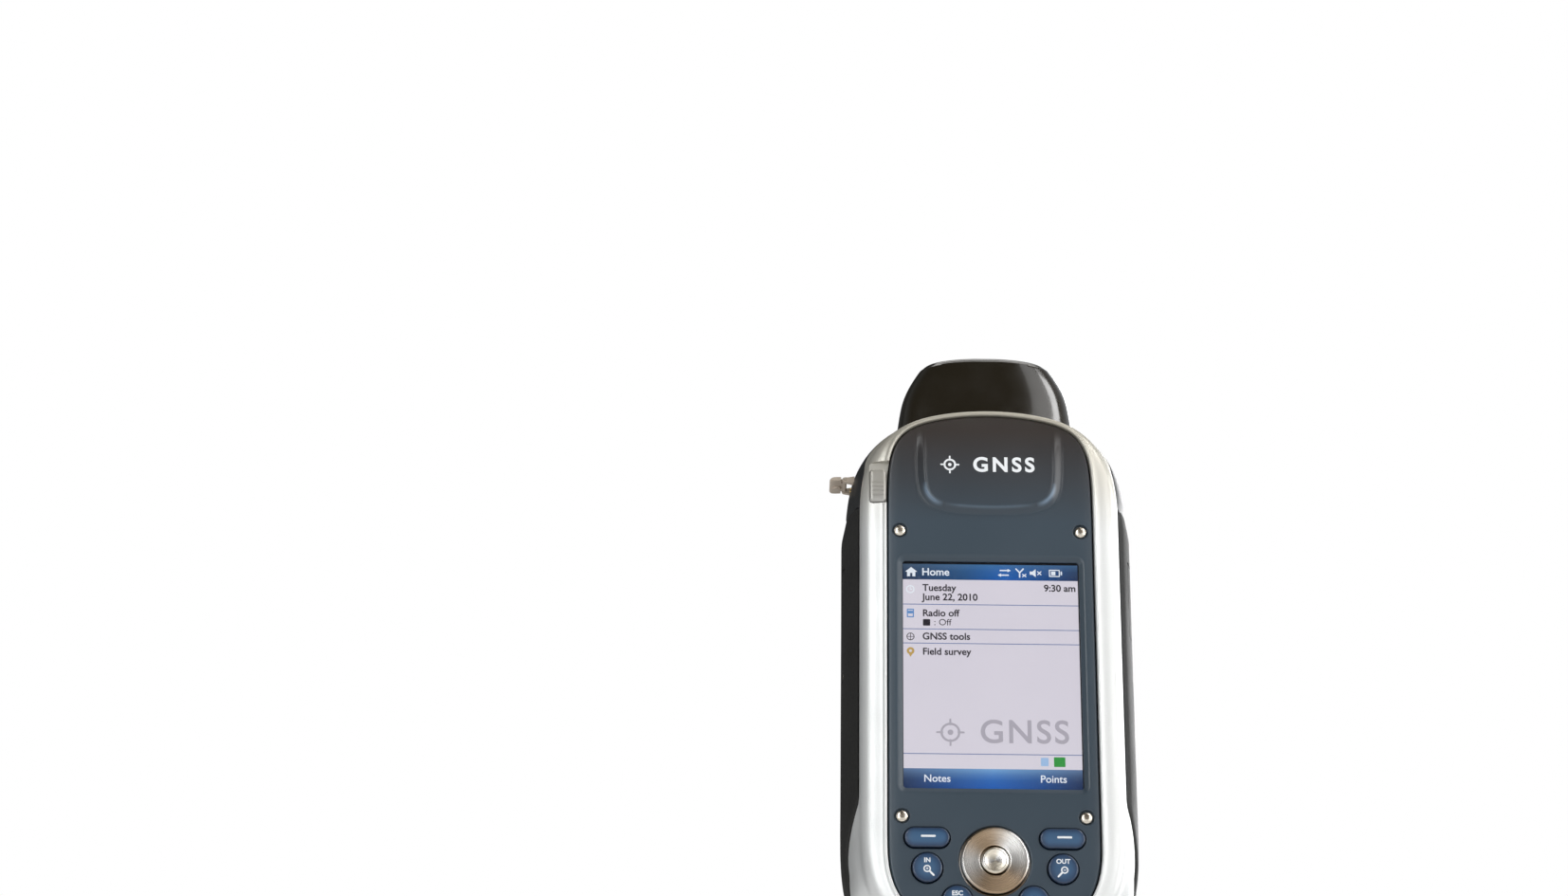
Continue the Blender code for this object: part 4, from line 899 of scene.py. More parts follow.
    back_rings = []
    for k, ((loop, sign), idx) in enumerate(zip(cons, loops_idx)):
        front = [to_new[i] for i in idx]
        if 1 + len(KEY_HOLES) <= k < 1 + len(KEY_HOLES) + len(SCREW_HOLES):
            a = new_ring(loop, 1.0)
            add_wall(front, a)
            small = shrink(loop, 1.05)
            b = new_ring(small, 1.0)
            add_wall(a, b)
            c = new_ring(small, 1.5)
            add_wall(b, c)
            back_rings.append((small, c))
        else:
            a = new_ring(loop, 1.5)
            add_wall(front, a)
            back_rings.append((loop, a))
    bp, be, bi = [], [], []
    for loop, ring in back_rings:
        base = len(bp)
        bp += [Vector(p) for p in loop]
        bi += ring
        be += [(base + i, base + (i + 1) % len(loop)) for i in range(len(loop))]
    got, _, tris, orig, _, _ = delaunay_2d_cdt(bp, be, [], 0, 1e-7, True)
    lookup = {new: bi[o[0]] for new, o in enumerate(orig)}
    B = np.array([(p.x, p.y) for p in got])
    tris = np.array([t for t in tris if len(t) == 3])
    cen = B[tris].mean(1)
    keep = inside_mask(cen[:, 0], cen[:, 1], back_rings[0][0])
    for loop, _ in back_rings[1:]:
        keep &= ~inside_mask(cen[:, 0], cen[:, 1], loop)
    for t in tris[keep]:
        a = (B[t[1], 0] - B[t[0], 0]) * (B[t[2], 1] - B[t[0], 1]) - (B[t[2], 0] - B[t[0], 0]) * (B[t[1], 1] - B[t[0], 1])
        t = [lookup[int(i)] for i in t]
        faces.append(t if a < 0 else t[::-1])
        normals.extend([(0.0, 0.0, 0.0)] * 3)
    mesh = bpy.data.meshes.new("bezel_panel")
    mesh.from_pydata([tuple(v) for v in W(verts)], [], faces)
    mesh.update()
    mesh.shade_smooth()
    mesh.set_sharp_from_angle(angle=math.radians(40))
    mesh.normals_split_custom_set(normals)
    mesh.materials.append(M["bezel"])
    ob = bpy.data.objects.new("bezel_panel", mesh)
    bpy.context.scene.collection.objects.link(ob)
    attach(ob, "case")
    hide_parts("front_bezel")
    return ob


build_bezel()
print("bezel done")


# ---------------------------------------------------------------- silver frame
def spline(points, counts):
    """Catmull-Rom through 2D points; counts[i] samples on each stretch."""
    p = np.array(points, float)
    q = np.vstack([2 * p[0] - p[1], p, 2 * p[-1] - p[-2]])
    out = []
    for i in range(1, len(q) - 2):
        p0, p1, p2, p3 = q[i - 1], q[i], q[i + 1], q[i + 2]
        # centripetal parameters keep the curve from overshooting where points are close
        t0 = 0.0
        t1 = t0 + max(1e-6, np.linalg.norm(p1 - p0)) ** 0.5
        t2 = t1 + max(1e-6, np.linalg.norm(p2 - p1)) ** 0.5
        t3 = t2 + max(1e-6, np.linalg.norm(p3 - p2)) ** 0.5
        for k in range(counts[i - 1]):
            t = t1 + (t2 - t1) * k / counts[i - 1]
            a1 = (t1 - t) / (t1 - t0) * p0 + (t - t0) / (t1 - t0) * p1
            a2 = (t2 - t) / (t2 - t1) * p1 + (t - t1) / (t2 - t1) * p2
            a3 = (t3 - t) / (t3 - t2) * p2 + (t - t2) / (t3 - t2) * p3
            b1 = (t2 - t) / (t2 - t0) * a1 + (t - t0) / (t2 - t0) * a2
            b2 = (t3 - t) / (t3 - t1) * a2 + (t - t1) / (t3 - t1) * a3
            out.append((t2 - t) / (t2 - t1) * b1 + (t - t1) / (t2 - t1) * b2)
    out.append(p[-1])
    return out


def frame_profile(r):
    mid = 0.5 * r.off_bezel(1.9) + 0.5 * r.off_frame(-min(1.9, 0.3 * r.width))
    face = [
        (r.off_bezel(0.45), -0.35),
        (r.off_bezel(0.62), -0.66),
        (r.off_bezel(0.95), -0.78),
        (r.off_bezel(1.3), -0.66),
        (r.off_bezel(1.75), -0.30),
        (mid, 0.10),
        (r.off_frame(-min(1.7, 0.25 * r.width)), 1.05),
    ]
    for t in (0.0, 0.2, 0.4, 0.6, 0.8, 0.97):
        y = 3.0 + (r.part - 3.0) * t
        sw = skin(r, y)
        if y <= 5.8 and sw < 0:
            sw = max(sw, -0.16 * r.width)
        face.append((r.off_frame(sw), y))
    return face


def eased(points, n):
    """The profile as n points, evenly spaced along it, with its curvature evened out."""
    c = np.array(spline(points, [10] * (len(points) - 1)))
    for _ in range(26):
        c[1:-1] = 0.5 * c[1:-1] + 0.25 * (c[:-2] + c[2:])
    seg = np.concatenate([[0], np.cumsum(np.hypot(*np.diff(c, axis=0).T))])
    t = np.linspace(0, seg[-1], n)
    # closer together over the narrow inner lip
    u = t / seg[-1]
    t = seg[-1] * (0.55 * u ** 1.6 + 0.45 * u)
    return [(float(a), float(b)) for a, b in zip(np.interp(t, seg, c[:, 0]), np.interp(t, seg, c[:, 1]))]


def build_frame():
    rows = []
    profs = [(r, frame_profile(r)) for r in RAYS]
    curves = {id(r): eased(p, 48) for r, p in profs}
    n = len(next(iter(curves.values())))
    for k in range(n):
        rows.append(around(lambda r: tuple(curves[id(r)][k])))
    rows.append(around(lambda r: (r.off_frame(skin(r, r.part) - 0.12), r.part)))
    rows.append(around(lambda r: (r.off_frame(skin(r, r.part) - min(1.8, 0.42 * r.width)), r.part)))
    rows.append(around(lambda r: (max(r.off_bezel(0.95), r.off_frame(-2.2)), 4.4)))
    rows.append(around(lambda r: (r.off_bezel(0.45), 3.2)))
    ob = piece("silver_trim", loft(rows, closed=True), M["silver"], stands_for="silver_frame", sharp=48)
    # pocket of the lock slider
    pocket = rounded(-37.0, -29.0, POCKET_Z[0], POCKET_Z[1], 1.3, 6)
    carve(ob, loft([[(x, y, z) for x, z in pocket] for y in (-3.0, 1.7)]), sharp=48)
    return ob


POCKET_Z = (89.8, 103.7)
build_frame()
print("frame done")


# ---------------------------------------------------------------- rear housing
def build_housing():
    def outer(y_of):
        return around(lambda r: (r.off_frame(housing(r, y_of(r))), y_of(r)))

    def inner(y_of):
        return around(lambda r: (r.off_frame(housing(r, y_of(r)) - WALL), min(y_of(r), 37.4)))

    rows = [around(lambda r: (r.off_frame(-6.5), Y_BACK - WALL)), around(lambda r: (r.off_frame(-3.2), Y_BACK - WALL - 1.2))]
    for t in (1.0, 0.87, 0.7, 0.5, 0.32, 0.16, 0.0):
        rows.append(inner(lambda r: r.part + GAP + (38.0 - r.part - GAP) * t))
    rows.append(around(lambda r: (r.off_frame(housing(r, r.part + GAP) - 0.22), r.part + GAP)))
    for t in (0.006, 0.02, 0.045, 0.08, 0.12, 0.17, 0.23, 0.3, 0.38, 0.46, 0.54, 0.62, 0.7, 0.77, 0.83, 0.88, 0.92, 0.95, 0.975, 1.0):
        rows.append(outer(lambda r: r.part + GAP + (38.0 - r.part - GAP) * t))
    for y in (38.7, 39.4, 40.0, 40.5, 40.9, 41.25, 41.55, 41.8, 41.95, 42.0):
        d = {38.7: 1.2, 39.4: 0.72, 40.0: 0.2, 40.5: -0.32, 40.9: -0.82, 41.25: -1.38, 41.55: -2.0, 41.8: -2.75, 41.95: -3.45, 42.0: -4.1}[y]
        rows.append(around(lambda r: (r.off_frame(d * (r.end if d > 0 else 1.0)), y)))
    ob = piece("back_shell", loft(rows), M["housing"], stands_for="rear_housing", sharp=50)
    zl, zh, hw, cr = DOOR
    opening = rounded(-hw - 0.35, hw + 0.35, zl - 0.35, zh + 0.35, cr, 8)
    tools = [loft([[(x, y, z) for x, z in opening] for y in (38.5, 44.0)])]
    # finger notch at the top edge of the door
    tools.append(loft([[(x, y, z) for x, z in inset(-8.0, 8.0, zh - 1.0, zh + 3.0, 1.9, 8, i)] for y, i in ((41.0, 0.8), (42.01, 0.0), (44.0, 0.0))]))
    tools += [lathe(x, z, [(2.8, 41.0), (2.8, 41.8), (3.1, 42.05), (3.1, 44.0)], 40) for x, z in REAR_SCREWS]
    tools += [lathe(0.0, 97.0, [(5.3, 38.5), (5.3, 41.5), (6.4, 42.05), (6.4, 44.0)], 64)]
    for z in (82.0, 86.0, 90.0):
        tools.append(loft([[(x, y, zz) for x, zz in inset(-21.5, -9.5, z - 0.9, z + 0.9, 0.88, 8, i)] for y, i in ((38.5, 0.0), (41.7, 0.0), (42.02, -0.3), (44.0, -0.3))]))
    carve(ob, *tools, sharp=50)
    tools = [axis_rod("y", x, z, [(1.5, 37.0), (1.5, 42.5)], 20) for x, z in REAR_SCREWS]
    tools += [axis_rod("z", STYLUS[0], STYLUS[1], [(3.5, 98.0), (3.5, 128.0)], 40)]
    tools += [axis_rod("x", 20.0, JACK_Z, [(2.25, -50.0), (2.25, -36.5)], 36)]
    tools += [axis_rod("x", 20.0, 40.0, [(1.0, -50.0), (1.0, -38.0)], 16), axis_rod("x", 20.0, 40.0, [(1.0, 38.0), (1.0, 50.0)], 16)]
    tools += [loft([[(x, 15.2, z), (x, 22.6, z), (x, 22.6, z + 22.0), (x, 15.2, z + 22.0)] for x, z in ((36.5, 53.0), (50.0, 53.0))])]
    dock = rounded(-9.3, 9.3, 19.0, 27.0, 0.9, 6)
    tools += [loft([[(x, y, z) for x, y in dock] for z in (-55.0, -41.0)])]
    # shallow line round the flat land that the bracket sits on
    ring_out, ring_in = rounded(-31.4, 31.4, 48.6, 75.6, 3.0, 8), rounded(-30.9, 30.9, 49.1, 75.1, 2.6, 8)
    groove = bmesh.new()
    quads = []
    for y in (41.75, 43.0):
        quads.append(([groove.verts.new((x, y, z)) for x, z in ring_out], [groove.verts.new((x, y, z)) for x, z in ring_in]))
    n = len(ring_out)
    for i in range(n):
        j = (i + 1) % n
        (o0, i0), (o1, i1) = quads
        groove.faces.new((o0[i], o0[j], o1[j], o1[i]))
        groove.faces.new((i0[i], i1[i], i1[j], i0[j]))
        groove.faces.new((o0[i], i0[i], i0[j], o0[j]))
        groove.faces.new((o1[i], o1[j], i1[j], i1[i]))
    tools.append(groove)
    carve(ob, *tools, sharp=50)
    return calm(ob)


JACK_Z = 100.6
build_housing()
print("housing done")


# ---------------------------------------------------------------- side grips
def build_grip(mirror, name, slot_node):
    z0, z1 = GRIP_Z
    stations = [r for r in RAYS if z0 - 0.01 <= r.z <= z1 + 0.01 and -0.9 < r.d[1] < 0.5]
    steps = [0, 0.02, 0.05, 0.09, 0.14, 0.2, 0.27, 0.34, 0.42, 0.5, 0.58, 0.66, 0.74, 0.81, 0.87, 0.92, 0.955, 0.98, 1.0]
    rings = []
    for r in stations:
        end = min(smooth(z0 - 1.5, z0 + 5.0, r.z), smooth(z1 + 1.5, z1 - 6.0, r.z))
        front, y1 = r.part + 0.8, 35.6
        ring = []
        for t in steps:
            y = front + (y1 - front) * t
            low = housing(r, y) + 0.3
            high = GRIP_T(y) * r.end
            flat = skin(r, y) + 0.05
            h = flat + (high - flat) * end if high > flat else max(high, low + 0.35)
            # rounded rims at the front and back edge of the rubber
            h -= 0.45 * (1 - min(1.0, t / 0.05)) ** 2 + 0.45 * (1 - min(1.0, (1 - t) / 0.05)) ** 2
            ring.append((r.off_frame(max(h, low + 0.12)), y))
        back = [(r.off_frame(housing(r, front + (y1 - front) * t) + 0.3), front + (y1 - front) * t) for t in steps[::-1]]
        rings.append([(r.at(d, mirror)[0], y, r.at(d, mirror)[1]) for d, y in ring + back])
    ob = piece(name, loft(rings), M["grip"], stands_for=slot_node, sharp=52)
    side = -1 if mirror else 1
    tools = [axis_rod("x", 20.0, 40.0, [(1.95, side * 39.0), (1.95, side * 44.35), (2.25, side * 44.8), (2.25, side * 50.0)], 40)]
    if mirror:
        # a moulded slot and a small dimple, as pads for a carry strap and a stand
        slot = rounded(17.0, 22.0, 73.6, 75.4, 0.85, 6)
        tools.append(loft([[(x, y, z) for y, z in slot] for x in (-43.5, -50.0)]))
        tools.append(axis_rod("x", 19.5, 64.0, [(0.7, -43.6), (1.0, -50.0)], 20))
    else:
        z_lo, z_hi, y_lo, y_hi = CARD_DOOR
        loop = rounded(y_lo - GAP, y_hi + GAP, z_lo - GAP, z_hi + GAP, 0.8, 5)
        tools.append(loft([[(x, y, z) for y, z in loop] for x in (38.0, 52.0)]))
    carve(ob, *tools, sharp=52)
    return ob


build_grip(True, "rubber_grip_left", "side_grip_left")
build_grip(False, "rubber_grip_right", "side_grip_right")
print("grips done")


# ---------------------------------------------------------------- antenna hood
TOP_CACHE = {}


def top_of_housing(x, y):
    """Height of the outer skin at the top end."""
    key = round(y, 2)
    if key not in TOP_CACHE:
        pts = [r.at(r.off_frame(skin(r, y)), False) for r in RAYS[:75]]
        TOP_CACHE[key] = (np.array([p[0] for p in pts]), np.array([p[1] for p in pts]))
    xs, zs = TOP_CACHE[key]
    return float(np.interp(abs(x), xs, zs))


HOOD_W = pchip([(114, 28.1), (120, 27.4), (123.5, 26.95), (127.1, 26.4), (130.4, 25.6), (134.5, 24.1), (138.6, 22.1), (141.9, 20.2)])


def hood_ring(level, inset, n=132, power=4.5):
    ring = []
    for i in range(n):
        a = TAU * (i + 0.5) / n
        c, s = math.cos(a), math.sin(a)
        c = math.copysign(abs(c) ** (2 / power), c)
        s = math.copysign(abs(s) ** (2 / power), s)
        y0, y1 = HOOD_Y[0] + 4.0 * level, HOOD_Y[1] - 3.0 * level
        yc, hd = 0.5 * (y0 + y1), 0.5 * (y1 - y0) - inset
        z_level = 141.9
        w = float(HOOD_W(117.0 + (z_level - 117.0) * level)) - inset
        x, y = w * c, yc + hd * s
        crown = 2.0 * (1 - (x / 20.0) ** 2) * level
        rim = top_of_housing(x, max(6.5, y)) + 0.55
        z = rim + (z_level + crown - rim) * level if level > 0 else rim
        if 0 < level:
            z = max(z, rim + 0.8 * min(1.0, level / 0.03))
        ring.append((x, y, z))
    return ring


def hood_cap(scale, lift, inset, n=132, power=4.5):
    base = hood_ring(1.0, inset, n, power)
    cy = sum(p[1] for p in base) / n
    out = []
    for x, y, z in base:
        nx, ny = x * scale, cy + (y - cy) * scale
        out.append((nx, ny, 143.3 + 1.9 * (1 - (nx / 20.0) ** 2) - 1.4 + lift - 1.3 * ((ny - cy) / 12.5) ** 2))
    return out


def build_hood():
    rows = [hood_cap(s, l, 2.0) for s, l in ((0.25, -0.9), (0.6, -0.9), (0.92, -1.2))]
    rows += [hood_ring(l, 2.0) for l in (0.8, 0.6, 0.4, 0.2, 0.0)]
    rim0 = hood_ring(0.0, 0.0)
    rows.append([(x * 0.994, y + (21.8 - y) * 0.006, z) for x, y, z in rim0])
    rows += [[(x, y, z + 0.18) for x, y, z in rim0]]
    rows += [hood_ring(l, 0.0) for l in (0.03, 0.08, 0.14, 0.2, 0.27, 0.34, 0.41, 0.48, 0.55, 0.62, 0.69, 0.76, 0.82, 0.87, 0.91, 0.945)]
    for s, l in ((0.993, -0.12), (0.981, 0.18), (0.965, 0.46), (0.945, 0.72), (0.92, 0.94), (0.89, 1.11), (0.855, 1.24), (0.81, 1.33), (0.75, 1.38), (0.66, 1.4), (0.55, 1.4), (0.4, 1.4), (0.25, 1.4), (0.1, 1.4)):
        rows.append(hood_cap(s, l, 0.0))
    return piece("radome", loft(rows), M["hood"], stands_for="antenna_hood", sharp=60)


build_hood()
print("hood done")


# ---------------------------------------------------------------- keys
KEY_TOP, KEY_CROWN = -0.92, 0.20


def cap_y(inset, half):
    """Depth of a key's top at this distance in from its edge."""
    edge = 0.62
    if inset < edge:
        a = math.acos(max(-1.0, min(1.0, 1 - inset / edge)))
        return KEY_TOP + edge * 0.8 * (1 - math.sin(a))
    u = (inset - edge) / max(0.1, half - edge)
    return KEY_TOP - KEY_CROWN * (1 - (1 - min(1.0, u)) ** 2)


def key_cap(name, node, body, loop_at, half, flange=0.5):
    insets = [half - 0.05] + [half * f for f in (0.9, 0.75, 0.6, 0.45, 0.3)] + [0.62, 0.5, 0.38, 0.27, 0.18, 0.1, 0.04, 0.0]
    insets = sorted(set(i for i in insets if i <= half - 0.04), reverse=True)
    rows = [(i, cap_y(i, half)) for i in insets] + [(0.0, 1.85), (-flange, 1.85), (-flange, 2.4), (0.2, 2.4), (0.2, 2.8)]
    return piece(name, loft([[(x, y, z) for x, z in loop_at(i)] for i, y in rows]), M["key"], body, node, sharp=45)


FIGURES = {}


def text_bmesh(body, size, weight=0.0, spacing=1.0, align="CENTER"):
    """Flat outline of a word in its own plane (x, z), as triangles."""
    cu = bpy.data.curves.new("word", "FONT")
    cu.body, cu.size, cu.offset, cu.space_character = body, size, weight, spacing
    cu.align_x, cu.align_y = align, "CENTER"
    cu.resolution_u = 6
    ob = bpy.data.objects.new("word", cu)
    bpy.context.scene.collection.objects.link(ob)
    bpy.context.view_layer.update()
    mesh = bpy.data.meshes.new_from_object(ob.evaluated_get(bpy.context.evaluated_depsgraph_get()))
    bm = bmesh.new()
    bm.from_mesh(mesh)
    bmesh.ops.remove_doubles(bm, verts=bm.verts, dist=1e-5)
    bpy.data.objects.remove(ob, do_unlink=True)
    bpy.data.meshes.remove(mesh)
    return bm


def ring_flat(cx, cz, r0, r1, n=40):
    bm = bmesh.new()
    a = [bm.verts.new((x, z, 0)) for x, z in circle(cx, cz, r1, n)]
    b = [bm.verts.new((x, z, 0)) for x, z in circle(cx, cz, r0, n)] if r0 > 0 else None
    if b:
        for i in range(n):
            j = (i + 1) % n
            bm.faces.new((a[i], a[j], b[j], b[i]))
    else:
        bm.faces.new(a)
    return bm


def poly_flat(points):
    bm = bmesh.new()
    bm.faces.new([bm.verts.new((x, z, 0)) for x, z in points])
    return bm


def stroke(x0, z0, x1, z1, w):
    """Short bar with round ends."""
    a = math.atan2(z1 - z0, x1 - x0)
    pts = []
    for k in range(9):
        t = a - math.pi / 2 + math.pi * k / 8
        pts.append((x1 + w / 2 * math.cos(t), z1 + w / 2 * math.sin(t)))
    for k in range(9):
        t = a + math.pi / 2 + math.pi * k / 8
        pts.append((x0 + w / 2 * math.cos(t), z0 + w / 2 * math.sin(t)))
    return poly_flat(pts)


def join_flat(*parts):
    """Flat shapes, each (bmesh, dx, dz), in one bmesh."""
    out = bmesh.new()
    for bm, dx, dz in parts:
        mesh = bpy.data.meshes.new("flat")
        for v in bm.verts:
            v.co.x += dx
            v.co.y += dz
        bm.to_mesh(mesh)
        bm.free()
        out.from_mesh(mesh)
        bpy.data.meshes.remove(mesh)
    return out


def printed(name, flat, mat, body, lift, thick=0.03, depth_at=None):
    """Thin printed figure: flat shapes laid on a face. depth_at(x, z) is the face's depth there, lift its height over it."""
    bmesh.ops.triangulate(flat, faces=flat.faces)
    if depth_at:
        # cut long edges so that the print follows a curved face
        for _ in range(2):
            long_edges = [e for e in flat.edges if e.calc_length() > 0.9]
            if long_edges:
                bmesh.ops.subdivide_edges(flat, edges=long_edges, cuts=1)
                bmesh.ops.triangulate(flat, faces=flat.faces)
    for f in flat.faces:
        f.normal_update()
        if f.normal.z < 0:
            f.normal_flip()
    base = [f for f in flat.faces]
    got = bmesh.ops.duplicate(flat, geom=list(flat.verts) + list(flat.edges) + base)
    dup_v = [g for g in got["geom"] if isinstance(g, bmesh.types.BMVert)]
    dup_f = [g for g in got["geom"] if isinstance(g, bmesh.types.BMFace)]
    vmap = got["vert_map"]
    border = [e for f in base for e in f.edges if len(e.link_faces) == 1]
    for e in set(border):
        f = e.link_faces[0]
        loop = [lp for lp in f.loops if lp.edge == e][0]
        a, b = loop.vert, loop.link_loop_next.vert
        flat.faces.new((b, a, vmap[a], vmap[b]))
    for f in dup_f:
        f.normal_flip()
    back = set(dup_v)
    for v in flat.verts:
        x, z = v.co.x, v.co.y
        y = (depth_at(x, z) if depth_at else 0.0) - lift + (thick if v in back else 0.0)
        v.co = (x, y, z)
    return piece(name, flat, mat, body, merge=False, sharp=30)


def magnifier(cx, cz, s=1.0):
    return [(ring_flat(0, 0, 0.62 * s, 0.95 * s, 36), cx - 0.15 * s, cz + 0.25 * s), (stroke(0, 0, 0.95 * s, -0.95 * s, 0.5 * s), cx + 0.55 * s, cz - 0.45 * s)]


def build_keys():
    x, z, w, h = SOFTKEY
    for side, sx, body in (("left", -1, "left_softkey"), ("right", 1, "right_softkey")):
        key_cap("softkey_cap_" + side, "softkey_" + side, body, lambda i, sx=sx: stadium(sx * x, z, w - 2 * i, h - 2 * i, 20), h / 2)
        printed("softkey_dash_" + side, join_flat((stroke(-1.9, 0, 1.9, 0, 0.62), sx * x + (0.35 if sx < 0 else 0.55), z + 0.25)), M["legend"], body,
                0.035, 0.03, lambda a, b: KEY_TOP - KEY_CROWN)
    # the dash sits on the flat crest of the bar keys
    spots = [("zoom_in_cap", "zoom_in_key", "zoom_in", -ZOOM_KEY[0], ZOOM_KEY[1], ZOOM_KEY[2]), ("zoom_out_cap", "zoom_out_key", "zoom_out", ZOOM_KEY[0], ZOOM_KEY[1], ZOOM_KEY[2]),
             ("esc_cap", "esc_key", "escape", -LOW_KEY[0], LOW_KEY[1], LOW_KEY[2]), ("menu_cap", "menu_key", "menu", LOW_KEY[0], LOW_KEY[1], LOW_KEY[2]),
             ("power_cap", "power_key", "power", POWER_KEY[0], POWER_KEY[1], POWER_KEY[2])]
    for name, node, body, cx, cz, r in spots:
        key_cap(name, node, body, lambda i, cx=cx, cz=cz, r=r: circle(cx, cz, r - i, 80), r)

    def on_cap(cx, cz, r):
        return lambda a, b: cap_y(r - math.hypot(a - cx, b - cz), r)

    cx, cz, r = -ZOOM_KEY[0], ZOOM_KEY[1], ZOOM_KEY[2]
    printed("legend_in", join_flat((text_bmesh("IN", 1.95, 0.055), cx, cz + 2.05), *magnifier(cx + 0.1, cz - 0.75, 1.15),
                                   (stroke(-0.3, 0, 0.3, 0, 0.22), cx - 0.06, cz - 0.46), (stroke(0, -0.3, 0, 0.3, 0.22), cx - 0.06, cz - 0.46)), M["legend"], "zoom_in", 0.035, 0.03, on_cap(cx, cz, r))
    cx = ZOOM_KEY[0]
    printed("legend_out", join_flat((text_bmesh("OUT", 1.95, 0.055), cx, cz + 2.05), (ring_flat(0, 0, 0.71, 1.09, 36), cx + 0.35, cz - 0.5), (stroke(0, 0, -1.05, -1.1, 0.58), cx - 0.45, cz - 1.3),
                                    (stroke(-0.3, 0, 0.3, 0, 0.22), cx + 0.35, cz - 0.5)), M["legend"], "zoom_out", 0.035, 0.03, on_cap(cx, cz, r))
    cx, cz, r = -LOW_KEY[0], LOW_KEY[1], LOW_KEY[2]
    printed("legend_esc", join_flat((text_bmesh("ESC", 2.0, 0.055), cx, cz + 1.95), (stroke(-0.9, -0.9, 0.9, 0.9, 0.42), cx, cz - 0.9), (stroke(-0.9, 0.9, 0.9, -0.9, 0.42), cx, cz - 0.9)),
            M["legend"], "escape", 0.035, 0.03, on_cap(cx, cz, r))
    cx = LOW_KEY[0]
    printed("legend_menu", join_flat((stroke(-1.3, 0, 1.3, 0, 0.42), cx, cz + 1.0), (stroke(-1.3, 0, 1.3, 0, 0.42), cx, cz), (stroke(-1.3, 0, 1.3, 0, 0.42), cx, cz - 1.0)),
            M["legend"], "menu", 0.035, 0.03, on_cap(cx, cz, r))
    # power sign: an open ring with a bar
    cx, cz, r = POWER_KEY[0], POWER_KEY[1], POWER_KEY[2]
    n, pts_o, pts_i = 30, [], []
    for k in range(n + 1):
        t = math.radians(125 + 290 * k / n)
        pts_o.append((1.05 * math.cos(t), 1.05 * math.sin(t)))
        pts_i.append((0.72 * math.cos(t), 0.72 * math.sin(t)))
    arc_bm = bmesh.new()
    vo = [arc_bm.verts.new((x, z, 0)) for x, z in pts_o]
    vi = [arc_bm.verts.new((x, z, 0)) for x, z in pts_i]
    for k in range(n):
        arc_bm.faces.new((vo[k], vo[k + 1], vi[k + 1], vi[k]))
    printed("legend_power", join_flat((arc_bm, cx, cz - 0.1), (stroke(0, 0.25, 0, 1.2, 0.32), cx, cz)), M["legend"], "power", 0.035, 0.03, on_cap(cx, cz, r))

    # navigation ring: dished face, bright bevel, and the enter button inside
    prof = [(4.5, 2.7), (4.5, -0.35)] + arc(4.75, -0.35, 0.25, 180, 270, 4)[1:] + [(5.4, -0.66), (6.4, -0.78), (7.5, -0.93), (8.5, -1.08), (9.15, -1.18), (9.38, -1.2)]
    prof += [(9.5, -1.17), (9.78, -0.94), (9.98, -0.72), (10.06, -0.58), (10.1, -0.4), (10.1, 2.2), (10.6, 2.2), (10.6, 2.7)]
    piece("nav_disc_face", lathe(NAV[0], NAV[1], prof, 160, bore=True), M["spun"], "nav_disc", "nav_ring", sharp=28)
    prof = [(0.05, -0.78), (0.5, -0.79), (1.2, -0.85), (2.0, -0.98), (2.8, -1.16), (3.2, -1.26), (3.35, -1.28), (3.5, -1.24), (3.8, -1.02), (3.97, -0.82), (ENTER_R, -0.6),
            (ENTER_R, 3.15), (4.9, 3.15), (4.9, 3.6), (3.0, 3.6), (3.0, 4.0)]
    piece("enter_face", lathe(NAV[0], NAV[1], prof, 120), M["spun_light"], "enter", "enter_button", sharp=28)


build_keys()
print("keys done")


# ---------------------------------------------------------------- screws
def hex_socket(cx, cz, r, y0, y1):
    return loft([[(x, y, z) for x, z in circle(cx, cz, r, 6, 0.2)] for y in (y0, y1)])


